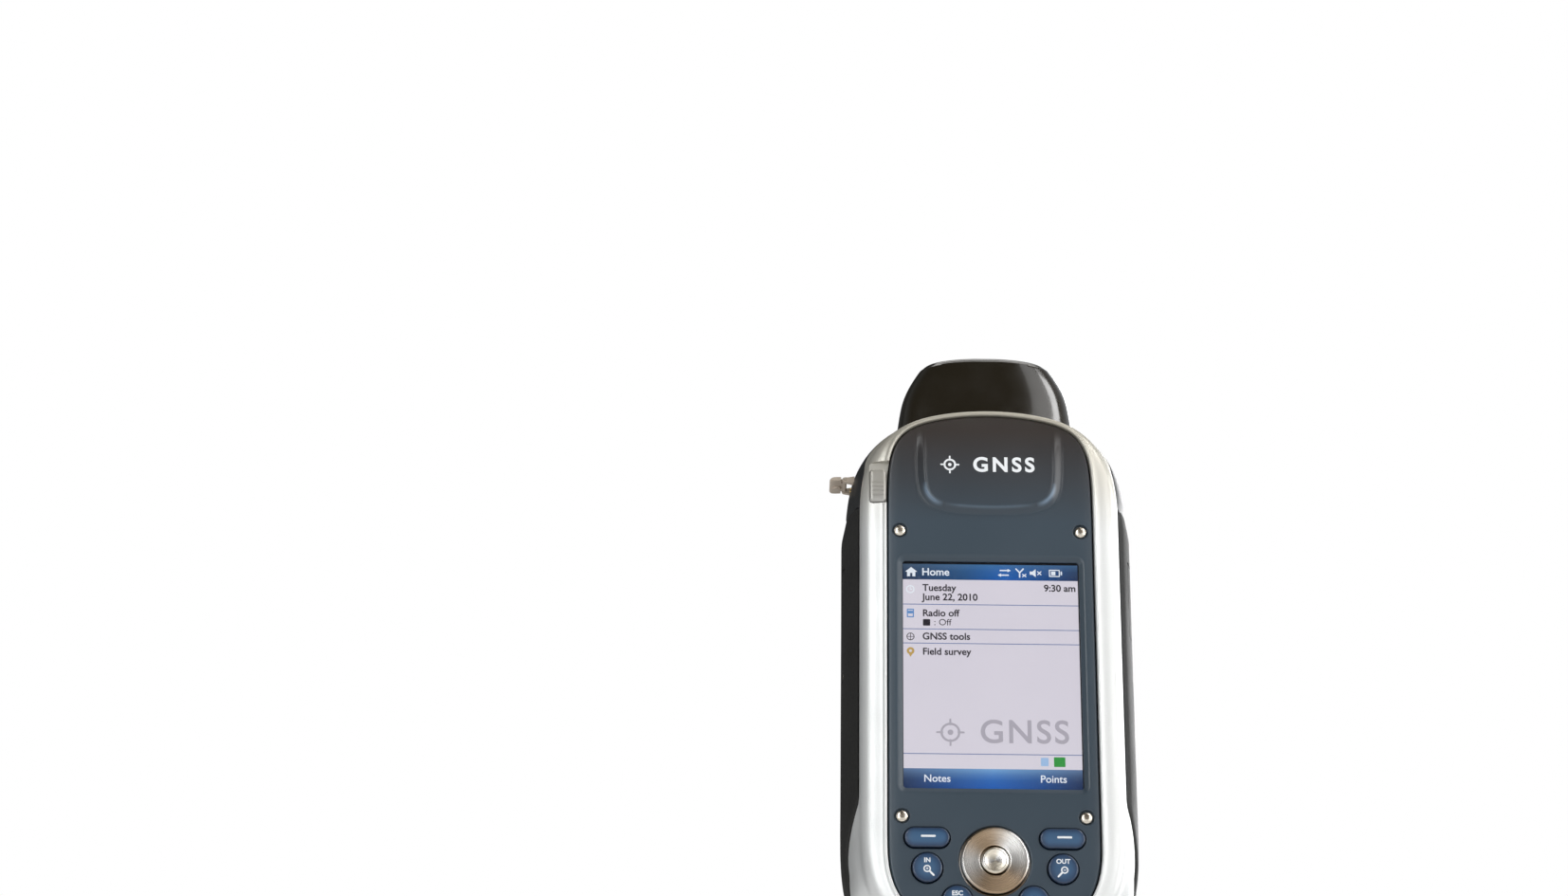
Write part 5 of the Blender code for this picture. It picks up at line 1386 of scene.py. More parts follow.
def build_screws():
    for i, (x, z) in enumerate(BEZEL_SCREWS, 1):
        prof = [(0.05, -0.19), (0.6, -0.18), (1.0, -0.12), (1.35, 0.0), (1.6, 0.16), (1.76, 0.34), (1.84, 0.52), (1.85, 0.7), (1.85, 0.8), (0.95, 0.8), (0.95, 5.6)]
        ob = piece("panel_screw_%d" % i, lathe(x, z, prof, 56), M["steel"], "case", "bezel_screw_%d" % i, sharp=30)
        carve(ob, hex_socket(x, z, 0.62, -1.0, 0.30), sharp=30)
        # the floor of the hex socket takes the socket colour: painted shade in the recess
        for p in ob.data.polygons:
            c = p.center
            if math.hypot(c.x * 1000 - x, (c.z * 1000 + Z_MOUNT) - z) < 0.6 and 0.2 < c.y * 1000 + Y_BACK < 0.5:
                p.material_index = 1
        if len(ob.data.materials) < 2:
            ob.data.materials.append(M["socket"])
    for i, (x, z) in enumerate(REAR_SCREWS, 1):
        prof = [(0.95, 29.5), (0.95, 41.2), (2.4, 41.2), (2.4, 41.6), (2.32, 41.78), (2.15, 41.88), (1.6, 41.95), (0.05, 41.98)]
        ob = piece("back_screw_%d" % i, lathe(x, z, prof, 48), M["steel"], "case", "rear_screw_%d" % i, sharp=30)
        carve(ob, hex_socket(x, z, 1.1, 41.3, 43.0), sharp=30)
    for side, (x, z) in zip(("left", "right"), DOOR_SCREWS):
        prof = [(1.5, 35.6), (1.5, 41.25), (3.6, 41.25), (3.6, 41.5), (3.56, 41.72), (3.45, 41.88), (3.25, 41.97), (3.0, Y_BACK), (0.05, Y_BACK)]
        ob = piece("quarter_turn_" + side, lathe(x, z, prof, 64), M["steel"], "door_turn_" + side, "door_screw_" + side, sharp=30)
        slot = rounded(x - 2.9, x + 2.9, z - 0.55, z + 0.55, 0.5, 6)
        carve(ob, loft([[(a, y, b) for a, b in slot] for y in (41.55, 43.5)]), sharp=30)
    for side, sign in (("left", -1), ("right", 1)):
        x_out = 39.8 + 4.85 - 0.25
        prof = [(0.75, sign * 36.5), (0.75, sign * (x_out - 1.0)), (1.6, sign * (x_out - 1.0)), (1.6, sign * (x_out - 0.35)), (1.52, sign * (x_out - 0.15)), (1.3, sign * (x_out - 0.03)), (1.0, sign * x_out), (0.05, sign * x_out)]
        ob = piece("strap_point_" + side, axis_rod("x", 20.0, 40.0, prof, 48), M["steel"], "case", "strap_screw_" + side, sharp=30)
        carve(ob, axis_rod("x", 20.0, 40.0, [(0.7, sign * (x_out - 0.5)), (0.7, sign * (x_out + 1.0))], 6), sharp=30)


build_screws()
print("screws done")


# ---------------------------------------------------------------- lock slider
def build_slider():
    rows = [(2.3, -0.98), (1.5, -0.97), (1.0, -0.95), (0.66, -0.90), (0.4, -0.80), (0.2, -0.64), (0.07, -0.43), (0.0, -0.15), (0.0, 1.4)]
    bm = loft([[(x, y, z) for x, z in inset(-36.9, -31.8, 90.1, 100.8, 1.2, 10, i)] for i, y in rows])
    ob = piece("lock_tab", bm, M["tab"], "lock", "lock_slider", sharp=40)
    cuts = []
    for k in range(4):
        z = 92.3 + 1.35 * k
        cuts.append(loft([[(x, y, zz) for x, zz in inset(-36.2, -32.5, z - 0.34, z + 0.34, 0.33, 6, i)] for y, i in ((-0.72, 0.2), (-0.9, 0.06), (-1.02, -0.06), (-2.0, -0.06))]))
    carve(ob, *cuts, sharp=40)
    # liner on the floor of the slot, in the frame's silver, seen as a fine line round the tab
    liner = loft([[(x, y, z) for x, z in inset(-37.0, -32.2, POCKET_Z[0], POCKET_Z[1], 1.3, 8, i)] for y, i in ((1.58, 0.06), (1.72, 0.06))])
    piece("slot_floor", liner, M["silver"], "case", sharp=40)
    return ob


build_slider()


# ---------------------------------------------------------------- display, mask and touch glass
def screen_material():
    """Lit display face: title bar, rows and bottom bar drawn from the height on the screen."""
    m = Mat("display_face", Specular_IOR_Level=0.3)
    sx, sy, sz = m.xyz()
    x = m.math("MULTIPLY", sx, 1000.0)
    z = m.math("MULTIPLY_ADD", sz, 1000.0, Z_MOUNT)
    # paper: pale lavender with a faint weave of pixels
    wob = m.noise(25.0, 2.0)
    paper = m.mix(wob, (0.690, 0.645, 0.725), (0.745, 0.700, 0.770))
    grid = m.math("MULTIPLY", m.math("SINE", m.math("MULTIPLY", x, TAU / 0.30)), m.math("SINE", m.math("MULTIPLY", z, TAU / 0.30)))
    paper = m.mix(m.remap(grid, 0.0, 0.10, -1.0, 1.0), paper, (0.56, 0.53, 0.60))
    # title bar: dark slate at the left, deep bright blue at the right, lighter along its upper edge
    across = m.remap(x, 0.0, 1.0, -26.0, 26.0)
    up = m.remap(z, 0.0, 1.0, 66.1, 71.1)
    title = m.mix(m.ramp(up, [(0.0, (0.02, 0.02, 0.02)), (0.55, (0.25, 0.25, 0.25)), (0.92, (0.8, 0.8, 0.8)), (1.0, (1, 1, 1))]),
                  m.ramp(across, [(0.0, (0.010, 0.030, 0.075)), (0.35, (0.003, 0.060, 0.190)), (0.58, (0.0, 0.100, 0.42)), (0.8, (0.001, 0.056, 0.23)), (1.0, (0.008, 0.025, 0.085))]),
                  m.ramp(across, [(0.0, (0.055, 0.095, 0.155)), (0.5, (0.045, 0.16, 0.37)), (1.0, (0.05, 0.12, 0.24))]))
    down = m.remap(z, 0.0, 1.0, 0.0, 6.3)
    foot = m.mix(m.ramp(down, [(0.0, (0, 0, 0)), (0.45, (0.12, 0.12, 0.12)), (0.72, (0.45, 0.45, 0.45)), (0.93, (0.9, 0.9, 0.9)), (1.0, (1, 1, 1))]),
                 m.ramp(across, [(0.0, (0.003, 0.020, 0.080)), (0.5, (0.0, 0.095, 0.43)), (1.0, (0.003, 0.020, 0.085))]),
                 m.ramp(across, [(0.0, (0.09, 0.16, 0.30)), (0.5, (0.16, 0.36, 0.64)), (1.0, (0.10, 0.17, 0.31))]))
    col = m.mix(m.math("GREATER_THAN", z, 66.07), paper, title)
    col = m.mix(m.math("LESS_THAN", z, 6.35), col, foot)
    line = None
    for at, half in ((58.08, 0.14), (50.17, 0.14), (45.62, 0.14), (10.9, 0.14)):
        one = m.math("LESS_THAN", m.math("ABSOLUTE", m.math("SUBTRACT", z, at)), half)
        line = one if line is None else m.math("MAXIMUM", line, one)
    col = m.mix(line, col, (0.165, 0.215, 0.40))
    # dark mask round the lit area
    inside_x = m.math("LESS_THAN", m.math("ABSOLUTE", x), 26.65)
    inside_z = m.math("MULTIPLY", m.math("GREATER_THAN", z, 0.0), m.math("LESS_THAN", z, 71.1))
    lit = m.math("MULTIPLY", inside_x, inside_z)
    col = m.mix(lit, (0.004, 0.0045, 0.006), col)
    m.link(col, m.b.inputs["Emission Color"])
    m.b.inputs["Emission Strength"].default_value = 1.0
    m.color(m.mix(lit, (0.010, 0.011, 0.013), (0.02, 0.02, 0.022)))
    m.rough(m.remap(wob, 0.3, 0.4))
    return m.mat


def lit(name, col, vary=0.06):
    m = Mat(name, Base_Color=(0.01, 0.01, 0.01, 1), Specular_IOR_Level=0.3)
    n = m.noise(300.0, 2.0)
    m.link(m.mix(n, tuple(c * (1 - vary) for c in col), tuple(min(1, c * (1 + vary)) for c in col)), m.b.inputs["Emission Color"])
    m.b.inputs["Emission Strength"].default_value = 1.0
    m.rough(m.remap(n, 0.3, 0.4))
    return m.mat


def build_display():
    face = slab(rounded(-29.6, 29.6, -4.2, 76.0, 0.8, 4), 3.2, 5.7)
    piece("lcd_panel", face, screen_material(), "case", "display_panel", sharp=30)
    glass = slab(rounded(-28.3, 28.3, -1.6, 72.7, 1.0, 6), 1.8, 2.9)
    piece("touch_window", glass, M["glass"], "case", "touch_glass", sharp=30)
    ink = lit("screen_ink", (0.018, 0.014, 0.022), 0.2)
    white = lit("screen_white", (0.82, 0.86, 0.92))
    grey = lit("screen_watermark", (0.43, 0.40, 0.46), 0.03)
    blue = lit("screen_blue", (0.10, 0.26, 0.56))
    sky = lit("screen_sky", (0.35, 0.52, 0.78))
    green = lit("screen_green", (0.03, 0.30, 0.05))
    amber = lit("screen_amber", (0.52, 0.34, 0.10))
    face_y = lambda a, b: 3.2

    def write(name, parts, mat):
        return printed(name, join_flat(*parts), mat, "case", 0.05, 0.03, face_y)

    def word(txt, x, z, size=3.05, weight=0.07, align="LEFT", spacing=1.0):
        return (text_bmesh(txt, size, weight, spacing, align), x, z)

    write("screen_rows", [
        word("Tuesday", -20.7, 63.35), word("June 22, 2010", -20.7, 60.35), word("9:30 am", 26.0, 63.55, align="RIGHT"),
        word("Radio off", -20.75, 55.2), word(": Off", -17.3, 52.25, 2.9, 0.0),
        word("GNSS tools", -20.8, 47.75), word("Field survey", -20.8, 42.9)], ink)
    write("screen_title", [word("Home", -20.9, 68.45, 3.35, 0.055)], white)
    write("screen_foot", [word("Notes", -20.7, 3.2, 3.2, 0.03), word("Points", 22.0, 3.3, 3.2, 0.03, "RIGHT")], white)
    # little square next to the radio state
    write("screen_chip", [(poly_flat(rounded(-20.6, -18.4, 51.2, 53.3, 0.25, 3)), 0, 0)], ink)
    # plain symbols in the title bar: two arrows, a signal, a loudspeaker, a battery
    t = 68.5
    write("screen_symbols", [
        (stroke(-1.2, 0.75, 1.2, 0.75, 0.42), 4.3, t), (poly_flat([(1.0, 0.2), (2.0, 0.75), (1.0, 1.3)]), 4.3, t),
        (stroke(-1.2, -0.75, 1.2, -0.75, 0.42), 4.3, t), (poly_flat([(-1.0, -0.2), (-2.0, -0.75), (-1.0, -1.3)]), 4.3, t),
        (stroke(0, -1.3, 0, 0.2, 0.42), 9.0, t), (stroke(0, 0.1, -1.1, 1.3, 0.42), 9.0, t), (stroke(0, 0.1, 1.1, 1.3, 0.42), 9.0, t), (stroke(0.9, -1.2, 1.9, -0.4, 0.3), 9.0, t), (stroke(0.9, -0.4, 1.9, -1.2, 0.3), 9.0, t),
        (poly_flat([(-1.5, -0.5), (-0.7, -0.5), (0.3, -1.3), (0.3, 1.3), (-0.7, 0.5), (-1.5, 0.5)]), 13.6, t), (stroke(0.9, -0.5, 1.9, 0.5, 0.3), 13.6, t), (stroke(0.9, 0.5, 1.9, -0.5, 0.3), 13.6, t),
        (stroke(-1.7, 1.0, 1.3, 1.0, 0.3), 19.8, t), (stroke(-1.7, -1.0, 1.3, -1.0, 0.3), 19.8, t), (stroke(-1.7, -1.0, -1.7, 1.0, 0.3), 19.8, t), (stroke(1.3, -1.0, 1.3, 1.0, 0.3), 19.8, t),
        (stroke(1.9, -0.4, 1.9, 0.4, 0.45), 19.8, t), (poly_flat([(-1.2, -0.6), (0.1, -0.6), (0.1, 0.6), (-1.2, 0.6)]), 19.8, t)], white)
    # a plain house as the home mark
    write("screen_home_mark", [(poly_flat([(-1.25, -1.4), (-0.35, -1.4), (-0.35, -0.3), (0.35, -0.3), (0.35, -1.4), (1.25, -1.4), (1.25, 0.1), (1.85, 0.1), (0.0, 1.6), (-1.85, 0.1), (-1.25, 0.1)]), -24.1, 68.45)], white)
    # row symbols
    write("screen_clock", [(ring_flat(0, 0, 0.95, 1.3, 32), -24.4, 62.9), (stroke(0, 0, 0, 0.7, 0.25), -24.4, 62.9), (stroke(0, 0, 0.5, 0, 0.25), -24.4, 62.9)], white)
    write("screen_radio", [(stroke(-0.9, -1.2, -0.9, 1.2, 0.35), -24.4, 55.2), (stroke(0.9, -1.2, 0.9, 1.2, 0.35), -24.4, 55.2), (stroke(-0.9, 1.2, 0.9, 1.2, 0.35), -24.4, 55.2), (stroke(-0.9, -1.2, 0.9, -1.2, 0.35), -24.4, 55.2), (stroke(-0.4, 0.3, 0.4, 0.3, 0.9), -24.4, 55.2)], blue)
    write("screen_chart", [(ring_flat(0, 0, 0.95, 1.2, 32), -24.4, 47.7), (stroke(-1.1, 0, 1.1, 0, 0.18), -24.4, 47.7), (stroke(0, -1.1, 0, 1.1, 0.18), -24.4, 47.7)], ink)
    write("screen_pin", [(ring_flat(0, 0.35, 0.45, 1.15, 32), -24.4, 42.8), (poly_flat([(-0.7, -0.4), (0, -1.6), (0.7, -0.4)]), -24.4, 42.8)], amber)
    # tray symbols
    write("screen_tray_blue", [(poly_flat(rounded(14.3, 16.6, 7.4, 10.0, 0.2, 3)), 0, 0)], sky)
    write("screen_tray_green", [(poly_flat(rounded(18.2, 21.6, 7.2, 10.2, 0.2, 3)), 0, 0)], green)
    # pale mark on the paper: a plain sighting target and a line of spaced capitals
    write("screen_mark", [(ring_flat(0, 0, 2.3, 3.0, 56), -12.6, 17.6), (ring_flat(0, 0, 0.0, 0.85, 32), -12.6, 17.6),
                          (stroke(-4.0, 0, -2.4, 0, 0.6), -12.6, 17.6), (stroke(2.4, 0, 4.0, 0, 0.6), -12.6, 17.6), (stroke(0, 2.4, 0, 4.0, 0.6), -12.6, 17.6), (stroke(0, -4.0, 0, -2.4, 0.6), -12.6, 17.6),
                          word("GNSS", 9.6, 17.6, 10.2, 0.14, "CENTER", 1.14)], grey)


build_display()
print("display done")


# ---------------------------------------------------------------- plain label on the boss
def build_label():
    def depth(a, b):
        return float(bezel_y(np.array([a]), np.array([b]))[0])

    flat = join_flat((ring_flat(0, 0, 1.35, 1.95, 48), -12.2, 102.4), (ring_flat(0, 0, 0.0, 0.55, 24), -12.2, 102.4),
                     (stroke(-2.7, 0, -1.5, 0, 0.5), -12.2, 102.4), (stroke(1.5, 0, 2.7, 0, 0.5), -12.2, 102.4), (stroke(0, 1.5, 0, 2.7, 0.5), -12.2, 102.4), (stroke(0, -2.7, 0, -1.5, 0.5), -12.2, 102.4),
                     (text_bmesh("GNSS", 6.6, 0.20, 1.30), 4.4, 102.3))
    printed("boss_label", flat, M["legend"], "case", 0.045, 0.03, depth)


build_label()


# ---------------------------------------------------------------- battery door
def build_door():
    zl, zh, hw, cr = DOOR
    rows = [(8.0, 40.2), (1.0, 40.2), (0.12, 40.2), (0.0, 40.35), (0.0, 41.45)]
    rows += [(0.55 * (1 - math.cos(math.pi / 2 * k / 5)), 41.45 + 0.55 * math.sin(math.pi / 2 * k / 5)) for k in range(1, 6)]
    rows += [(3.0, Y_BACK), (3.25, 41.99), (3.55, 41.82), (3.9, 41.72), (4.4, 41.7), (10.0, 41.7)]
    bm = loft([[(x, y, z) for x, z in inset(-hw, hw, zl, zh, cr - 0.3, 12, i)] for i, y in rows])
    ob = piece("door_shell", bm, M["housing"], "door", "battery_door", sharp=42)
    tools = []
    for x, z in DOOR_SCREWS:
        tools.append(lathe(x, z, [(2.0, 39.0), (2.0, 41.0), (3.9, 41.0), (3.9, 41.55), (4.1, 41.8), (4.5, 42.02), (4.5, 44.0)], 64))
    # finger ribs as grooves across the upper part
    for k in range(5):
        z = 26.5 - 2.3 * k
        tools.append(loft([[(x, y, zz) for x, zz in inset(-11.0, 11.0, z - 0.5, z + 0.5, 0.49, 8, i)] for y, i in ((41.15, 0.25), (41.45, 0.08), (41.75, 0.0), (43.0, -0.3))]))
    carve(ob, *tools, sharp=42)
    calm(ob)
    # raised pads round the two screws
    for side, (x, z) in zip(("left", "right"), DOOR_SCREWS):
        prof = [(4.1, 41.66), (4.1, 41.84), (4.3, 41.98), (5.4, 41.98), (5.75, 41.9), (5.95, 41.66)]
        piece("door_ring_" + side, lathe(x, z, prof, 72, bore=True), M["housing"], "door", sharp=42)
    # battery sign moulded in the door
    fig = join_flat((stroke(-3.4, 0, 3.4, 0, 0.5), 0, -12.0), (stroke(-3.4, 4.6, 3.4, 4.6, 0.5), 0, -12.0), (stroke(-3.4, 0, -3.4, 4.6, 0.5), 0, -12.0), (stroke(3.4, 0, 3.4, 4.6, 0.5), 0, -12.0),
                    (stroke(4.4, 1.4, 4.4, 3.2, 0.9), 0, -12.0), (stroke(-2.0, 1.3, -2.0, 3.3, 0.7), 0, -12.0), (stroke(-0.4, 1.3, -0.4, 3.3, 0.7), 0, -12.0))
    bmesh.ops.triangulate(fig, faces=fig.faces)
    for f in fig.faces:
        f.normal_update()
        if f.normal.z < 0:
            f.normal_flip()
    bm = bmesh.new()
    mesh = bpy.data.meshes.new("flat")
    fig.to_mesh(mesh)
    fig.free()
    bm.from_mesh(mesh)
    bpy.data.meshes.remove(mesh)
    got = bmesh.ops.extrude_face_region(bm, geom=list(bm.faces))
    lifted = {g for g in got["geom"] if isinstance(g, bmesh.types.BMVert)}
    for v in bm.verts:
        x, z = v.co.x, v.co.y
        v.co = (x, 41.95 if v in lifted else 41.66, z)
    piece("door_figure", bm, M["dark"], "door", merge=False, sharp=30)


build_door()


# ---------------------------------------------------------------- camera window, contacts, dock
def build_small_parts():
    prof = [(4.9, 40.2), (4.9, 41.3), (4.82, 41.5), (4.6, 41.66), (4.2, 41.72), (3.9, 41.70), (3.75, 41.5), (3.6, 41.2), (0.1, 41.2)]
    piece("camera_ring", lathe(0.0, 97.0, prof, 72), M["steel"], "case", "camera_window", sharp=32)
    piece("camera_glass", lathe(0.0, 97.0, [(3.5, 41.1), (3.5, 41.34), (3.3, 41.42), (2.0, 41.5), (0.1, 41.52)], 64), M["lens"], "case", sharp=32)
    piece("camera_iris", lathe(0.0, 97.0, [(1.5, 41.45), (1.5, 41.56), (1.3, 41.6), (0.1, 41.62)], 48), M["lens"], "case", sharp=32)
    # speaker: profile of a round cone behind the slots, returned but not built
    prof = [(7.4, 33.5), (7.4, 38.6), (7.2, 39.2), (6.8, 39.4), (6.5, 39.3), (6.2, 38.9), (5.6, 38.6), (4.6, 38.8), (3.6, 38.4), (2.4, 37.9), (2.2, 38.2), (1.6, 38.7), (0.1, 38.9)]
    return prof


build_small_parts()


def build_dock():
    """Docking connector in the lower end: shroud with a tongue and a row of contacts."""
    lo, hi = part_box("dock_connector")
    z_low = lo[2] * 1000 + Z_MOUNT
    outer = rounded(-8.9, 8.9, 19.4, 26.6, 0.9, 6)
    wall = rounded(-8.1, 8.1, 20.2, 25.8, 0.5, 6)
    z_in = z_low + 5.2
    rings = [[(x, y, -38.2) for x, y in outer], [(x, y, z_low + 0.35) for x, y in outer]]
    rings += [[(x * 0.985, 23.0 + (y - 23.0) * 0.97, z_low + 0.05) for x, y in outer], [(x * 1.01, 23.0 + (y - 23.0) * 1.02, z_low) for x, y in wall],
              [(x, y, z_low + 0.3) for x, y in wall], [(x, y, z_in) for x, y in wall]]
    piece("dock_shroud", loft(rings), M["dark"], "case", "dock_connector", sharp=35)
    tongue = rounded(-6.9, 6.9, 22.1, 23.9, 0.35, 4)
    piece("dock_tongue", loft([[(x, y, z_in + 0.4) for x, y in tongue], [(x, y, z_low + 1.2) for x, y in tongue], [(x * 0.98, 23.0 + (y - 23.0) * 0.7, z_low + 0.8) for x, y in tongue]]), M["black"], "case", sharp=35)
    for k in range(13):
        x = -6.0 + k
        bm = bmesh.new()
        for y0, y1 in ((21.96, 22.12), (23.88, 24.04)):
            bar = [(x - 0.26, y0), (x + 0.26, y0), (x + 0.26, y1), (x - 0.26, y1)]
            loft([[(a, b, z) for a, b in bar] for z in (z_in + 0.2, z_low + 1.6)], bm=bm)
        piece("dock_pin_%02d" % (k + 1), bm, M["brass"], "case", sharp=35)


build_dock()


# ---------------------------------------------------------------- card hatch in the right side
def build_hatch():
    z_lo, z_hi, y_lo, y_hi = CARD_DOOR

    def out(y):
        return 39.8 + GRIP_T(y)

    def ring(i):
        # straight runs are cut up so that the face can follow the swell
        pts = inset(y_lo, y_hi, z_lo, z_hi, 0.9, 6, i)
        out = []
        for k, (a, b) in enumerate(zip(pts, pts[1:] + pts[:1])):
            cuts = {6: 24, 13: 12, 20: 24, 27: 12}.get(k, 1)
            for j in range(cuts):
                out.append((a[0] + (b[0] - a[0]) * j / cuts, a[1] + (b[1] - a[1]) * j / cuts))
        return out

    # outer face follows the swell of the grip; the plate is 1.5 thick
    rows = []
    back = 1.5
    rows.append([(out(y) - back, y, z) for y, z in ring(0.0)])
    rows.append([(out(y) - 0.35, y, z) for y, z in ring(0.0)])
    for i, d in ((0.05, 0.2), (0.16, 0.09), (0.32, 0.03), (0.55, 0.0), (1.2, 0.0), (2.2, 0.0), (3.6, 0.0), (5.0, 0.0)):
        rows.append([(out(y) - d, y, z) for y, z in ring(i)])
    ob = piece("hatch_leaf", loft(rows), M["grip"], "card_hatch", "card_door", sharp=42)
    # finger lip: a scoop near the rear edge
    tools = []
    tools.append(loft([[(out(22.0) - d, y, z) for y, z in inset(20.4, 23.6, 60.5, 67.5, 1.3, 8, i)] for d, i in ((0.75, 0.8), (0.6, 0.35), (0.3, 0.1), (-0.8, -0.2))]))
    carve(ob, *tools, sharp=42)


build_hatch()


# ---------------------------------------------------------------- aerial socket and its flap
def build_aerial():
    def ring(r, x, n=48):
        return [(x, 20.0 + r * math.cos(TAU * i / n), JACK_Z + r * math.sin(TAU * i / n)) for i in range(n)]

    rows = [ring(0.9, -39.5), ring(0.9, -41.9), ring(0.98, -42.2), ring(1.12, -42.42), ring(1.25, -42.5), ring(1.65, -42.5), ring(1.78, -42.44), ring(1.85, -42.3), ring(1.85, -41.9), ring(1.62, -41.8), ring(1.62, -41.5), ring(1.85, -41.4), ring(1.85, -36.8)]
    piece("aerial_socket", loft(rows), M["brass"], "case", "antenna_jack", sharp=35)
    pin = [(0.28, -39.4), (0.28, -41.6), (0.12, -41.9)]
    piece("aerial_pin", axis_rod("x", 20.0, JACK_Z, pin, 20), M["brass"], "case", sharp=35)

    # flap: soft lid on a moulded hinge, standing open; its outline seen from the front
    hx, hz = COVER_HINGE
    side = [(hx + 0.65, hz - 0.1), (hx + 0.45, hz + 0.6), (hx - 0.2, hz + 0.85), (hx - 3.7, hz + 0.85), (hx - 4.4, hz + 0.5), (hx - 4.7, hz - 0.05), (hx - 4.3, hz - 0.5), (hx - 0.4, hz - 0.5), (hx + 0.2, hz - 0.6)]
    # round the outline
    pts = spline(side + [side[0]], [5] * len(side))[:-1]
    cx = sum(p[0] for p in pts) / len(pts)
    cz = sum(p[1] for p in pts) / len(pts)
    rows = []
    y0, y1 = 14.3, 25.7
    for t in (0.0, 0.02, 0.06, 0.12, 0.2, 0.35, 0.5, 0.65, 0.8, 0.88, 0.94, 0.98, 1.0):
        e = min(t, 1 - t)
        s = 1 - 0.16 * (1 - min(1.0, e / 0.12)) ** 2
        sz = 1 - 0.28 * (1 - min(1.0, e / 0.08)) ** 2
        rows.append([(cx + (x - cx) * s, y0 + (y1 - y0) * t, cz + (z - cz) * sz) for x, z in pts])
    ob = piece("flap_leaf", loft(rows), [M["flap"], M["flap"]], "aerial_cover", "antenna_cover", sharp=45)
    for p in ob.data.polygons:
        c = p.center
        z = c.z * 1000 + Z_MOUNT
        if z < hz - 0.22 and c.x * 1000 < hx + 0.1:
            p.material_index = 1
    carve(ob, *[loft([[(hx - 1.15, y, hz - 2.0), (hx + 2.0, y, hz - 2.0), (hx + 2.0, y, hz + 2.0), (hx - 1.15, y, hz + 2.0)] for y in ends]) for ends in ((12.0, 16.5), (23.5, 28.0))], sharp=45)
    # two ears on the shell and the pin that the leaf turns on
    for side, (a, b) in (("front", (14.5, 16.2)), ("back", (23.8, 25.5))):
        ear = arc(hx, hz, 0.82, 90, 270, 12) + [(hx + 1.2, hz - 1.05), (hx + 3.0, hz - 1.5), (hx + 3.0, hz + 1.2), (hx + 1.2, hz + 0.85)]
        rows = []
        for t, k in ((0.0, 0.90), (0.1, 0.97), (0.22, 1.0), (0.78, 1.0), (0.9, 0.97), (1.0, 0.90)):
            rows.append([(hx + (x - hx) * (k if x < hx + 0.5 else 1.0), a + (b - a) * t, hz + (z - hz) * k) for x, z in ear])
        piece("flap_ear_" + side, loft(rows), M["flap"], "case", sharp=45)
    piece("flap_pin", axis_rod("y", hx, hz, [(0.1, 14.2), (0.3, 14.2), (0.36, 14.28), (0.36, 25.72), (0.3, 25.8), (0.1, 25.8)], 24), M["steel"], "case", sharp=40)
    # low plug boss under the leaf
    boss = [(1.35, hz - 0.46), (1.35, hz - 0.95), (1.25, hz - 1.1), (1.0, hz - 1.18), (0.1, hz - 1.2)]
    piece("flap_plug", axis_rod("z", hx - 2.35, 20.0, boss, 40), M["flap"], "aerial_cover", sharp=40)


build_aerial()


# ---------------------------------------------------------------- stylus
def build_stylus():
    x, y = STYLUS
    prof = [(0.08, 18.98), (0.3, 19.0), (0.5, 19.15), (0.62, 19.6), (0.9, 20.6), (1.2, 22.0), (1.55, 23.6), (1.85, 25.1), (2.0, 26.2)]
    prof += [(2.0, 60.0), (2.0, 95.0), (2.0, 103.6), (2.15, 104.5), (2.5, 106.2), (2.75, 107.4), (2.9, 108.6)]
    for k in range(5):
        z = 109.4 + 1.05 * k
        prof += [(2.9, z), (2.74, z + 0.15), (2.74, z + 0.45), (2.9, z + 0.6)]
    prof += [(2.9, 114.9), (2.82, 115.4), (2.6, 115.75), (2.3, 115.95), (1.6, 116.0), (0.08, 116.0)]
    piece("pen_body", axis_rod("z", x, y, prof, 56), M["black"], "pen", "stylus", sharp=35)


build_stylus()
print("doors and small parts done")


# ---------------------------------------------------------------- finishes of the CAD pieces that stay
SLOT_TO = {"bezel": "bezel", "frame_silver": "silver", "housing": "housing", "grip": "grip", "hood": "hood", "touch_glass": "glass", "display": "black", "key": "key", "spun_metal": "spun",
           "stainless": "steel", "board": "board", "shield_can": "can", "seal": "seal", "carrier": "carrier", "ceramic": "ceramic", "dark_plastic": "dark", "lens_glass": "lens", "contact": "brass", "cover_rubber": "flap_dark"}
OWN = {"battery_pack": "cell", "touch_gasket": "black", "nav_gimbal": "dark", "battery_contacts": "dark"}
slot_of = {}
for row in frame["record"].get("materials", []):
    for n in row.get("nodes", []):
        slot_of[n] = row["slot"]


def paint_cad():
    for n in frame["nodes"]:
        ob = bpy.data.objects.get(n)
        if ob is None or ob.type != "MESH":
            continue
        key = OWN.get(n) or SLOT_TO.get(slot_of.get(n), "dark")
        if not ob.data.materials:
            ob.data.materials.append(M[key])
        for s in ob.material_slots:
            s.material = M[key]


paint_cad()


# ---------------------------------------------------------------- floor, light, camera
def soft_floor():
    m = Mat("floor_white", Specular_IOR_Level=0.3)
    n = m.noise(3.0, 3.0)
    m.color(m.mix(n, (0.82, 0.82, 0.82), (0.86, 0.86, 0.86)))
    m.rough(m.remap(n, 0.75, 0.85))
    fx, fy, _ = m.xyz()
    far = m.math("SQRT", m.math("ADD", m.math("MULTIPLY", fx, fx), m.math("MULTIPLY", fy, fy)))
    m.link(m.ramp(m.remap(far, 0.0, 1.0, 4.5, 8.5), [(0.0, (0.46, 0.46, 0.46)), (1.0, (1.0, 1.0, 1.0))]), m.b.inputs["Emission Color"])
    m.b.inputs["Emission Strength"].default_value = 1.0
    return m.mat


